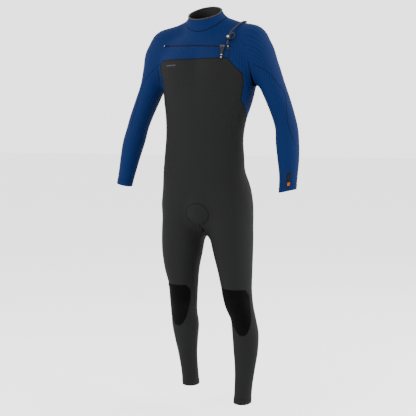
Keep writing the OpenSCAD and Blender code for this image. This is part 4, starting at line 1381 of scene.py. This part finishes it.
class WETSUIT_OT_stage(SuitOperator):
    """Sets up the camera, floor and soft lights"""

    bl_idname = "wetsuit.stage"
    bl_label = "Stage"

    def build(self):
        scene = bpy.context.scene
        s = scene.wetsuit_stage
        camera = bpy.data.objects.new("camera", bpy.data.cameras.new("camera"))
        scene.collection.objects.link(camera)
        camera.data.lens = s.lens
        camera.data.sensor_width = 36
        camera.location = (s.distance * math.sin(s.azimuth), -s.distance * math.cos(s.azimuth), s.height)
        camera.rotation_euler = (math.pi / 2 - s.pitch, 0, s.azimuth)
        scene.camera = camera
        mesh = bpy.data.meshes.new("floor")
        corners = [(x, y, s.floor) for x, y in ((-30, -30), (30, -30), (30, 30), (-30, 30))]
        mesh.from_pydata(corners, [], [(0, 1, 2, 3)])
        surface(material("floor"), (0.9, 0.9, 0.9), 0.9)
        mesh.materials.append(FINISHES["floor"])
        floor = bpy.data.objects.new("floor", mesh)
        scene.collection.objects.link(floor)
        world = bpy.data.worlds.new("studio")
        world.use_nodes = True
        world.node_tree.nodes["Background"].inputs["Color"].default_value = (1, 1, 1, 1)
        world.node_tree.nodes["Background"].inputs["Strength"].default_value = s.world
        scene.world = world
        out, high = 2.6, 0.3
        for name, turn, power in (("left", 80, 1.0), ("right", -60, 0.8)):
            lamp = bpy.data.lights.new(name + "_light", "AREA")
            lamp.shape, lamp.size, lamp.size_y, lamp.energy = "RECTANGLE", 2.2, 3.0, s.side * power
            light = bpy.data.objects.new(name + "_light", lamp)
            angle = s.azimuth + math.radians(turn)
            light.location = (out * math.sin(angle), -out * math.cos(angle), high)
            aim = np.array([0, 0, -0.6]) - np.array(light.location)
            flat = math.hypot(aim[0], aim[1])
            light.rotation_euler = (math.pi / 2 + math.atan2(aim[2], flat), 0, math.atan2(-aim[0], aim[1]))
            scene.collection.objects.link(light)


class WETSUIT_PT_panel(bpy.types.Panel):
    """Buttons that build the suit, piece by piece"""

    bl_idname = "WETSUIT_PT_panel"
    bl_label = "Wetsuit"
    bl_space_type = "VIEW_3D"
    bl_region_type = "UI"
    bl_category = "Wetsuit"

    def draw(self, context):
        scene = context.scene
        for group in (scene.wetsuit_sizes, scene.wetsuit_colours, scene.wetsuit_stage):
            for name in group.__annotations__:
                self.layout.prop(group, name)
        for step in STEPS:
            self.layout.operator("wetsuit." + step)


STEPS = ("materials", "stage", "neck", "shoulders", "trunk", "groin", "sleeves", "legs", "zip", "pull",
         "cord", "seams", "trims")
CLASSES = (SuitSizes, SuitColours, SuitStage, WETSUIT_OT_materials, WETSUIT_OT_stage, WETSUIT_OT_neck,
           WETSUIT_OT_shoulders, WETSUIT_OT_trunk, WETSUIT_OT_groin, WETSUIT_OT_sleeves, WETSUIT_OT_legs,
           WETSUIT_OT_zip, WETSUIT_OT_pull, WETSUIT_OT_cord, WETSUIT_OT_seams, WETSUIT_OT_trims,
           WETSUIT_PT_panel)


def register():
    for cls in CLASSES:
        bpy.utils.register_class(cls)
    bpy.types.Scene.wetsuit_sizes = bpy.props.PointerProperty(type=SuitSizes)
    bpy.types.Scene.wetsuit_colours = bpy.props.PointerProperty(type=SuitColours)
    bpy.types.Scene.wetsuit_stage = bpy.props.PointerProperty(type=SuitStage)


def unregister():
    del bpy.types.Scene.wetsuit_stage
    del bpy.types.Scene.wetsuit_colours
    del bpy.types.Scene.wetsuit_sizes
    for cls in reversed(CLASSES):
        bpy.utils.unregister_class(cls)


def main():
    register()
    for step in STEPS:
        getattr(bpy.ops.wetsuit, step)()


if __name__ == "__main__":
    main()
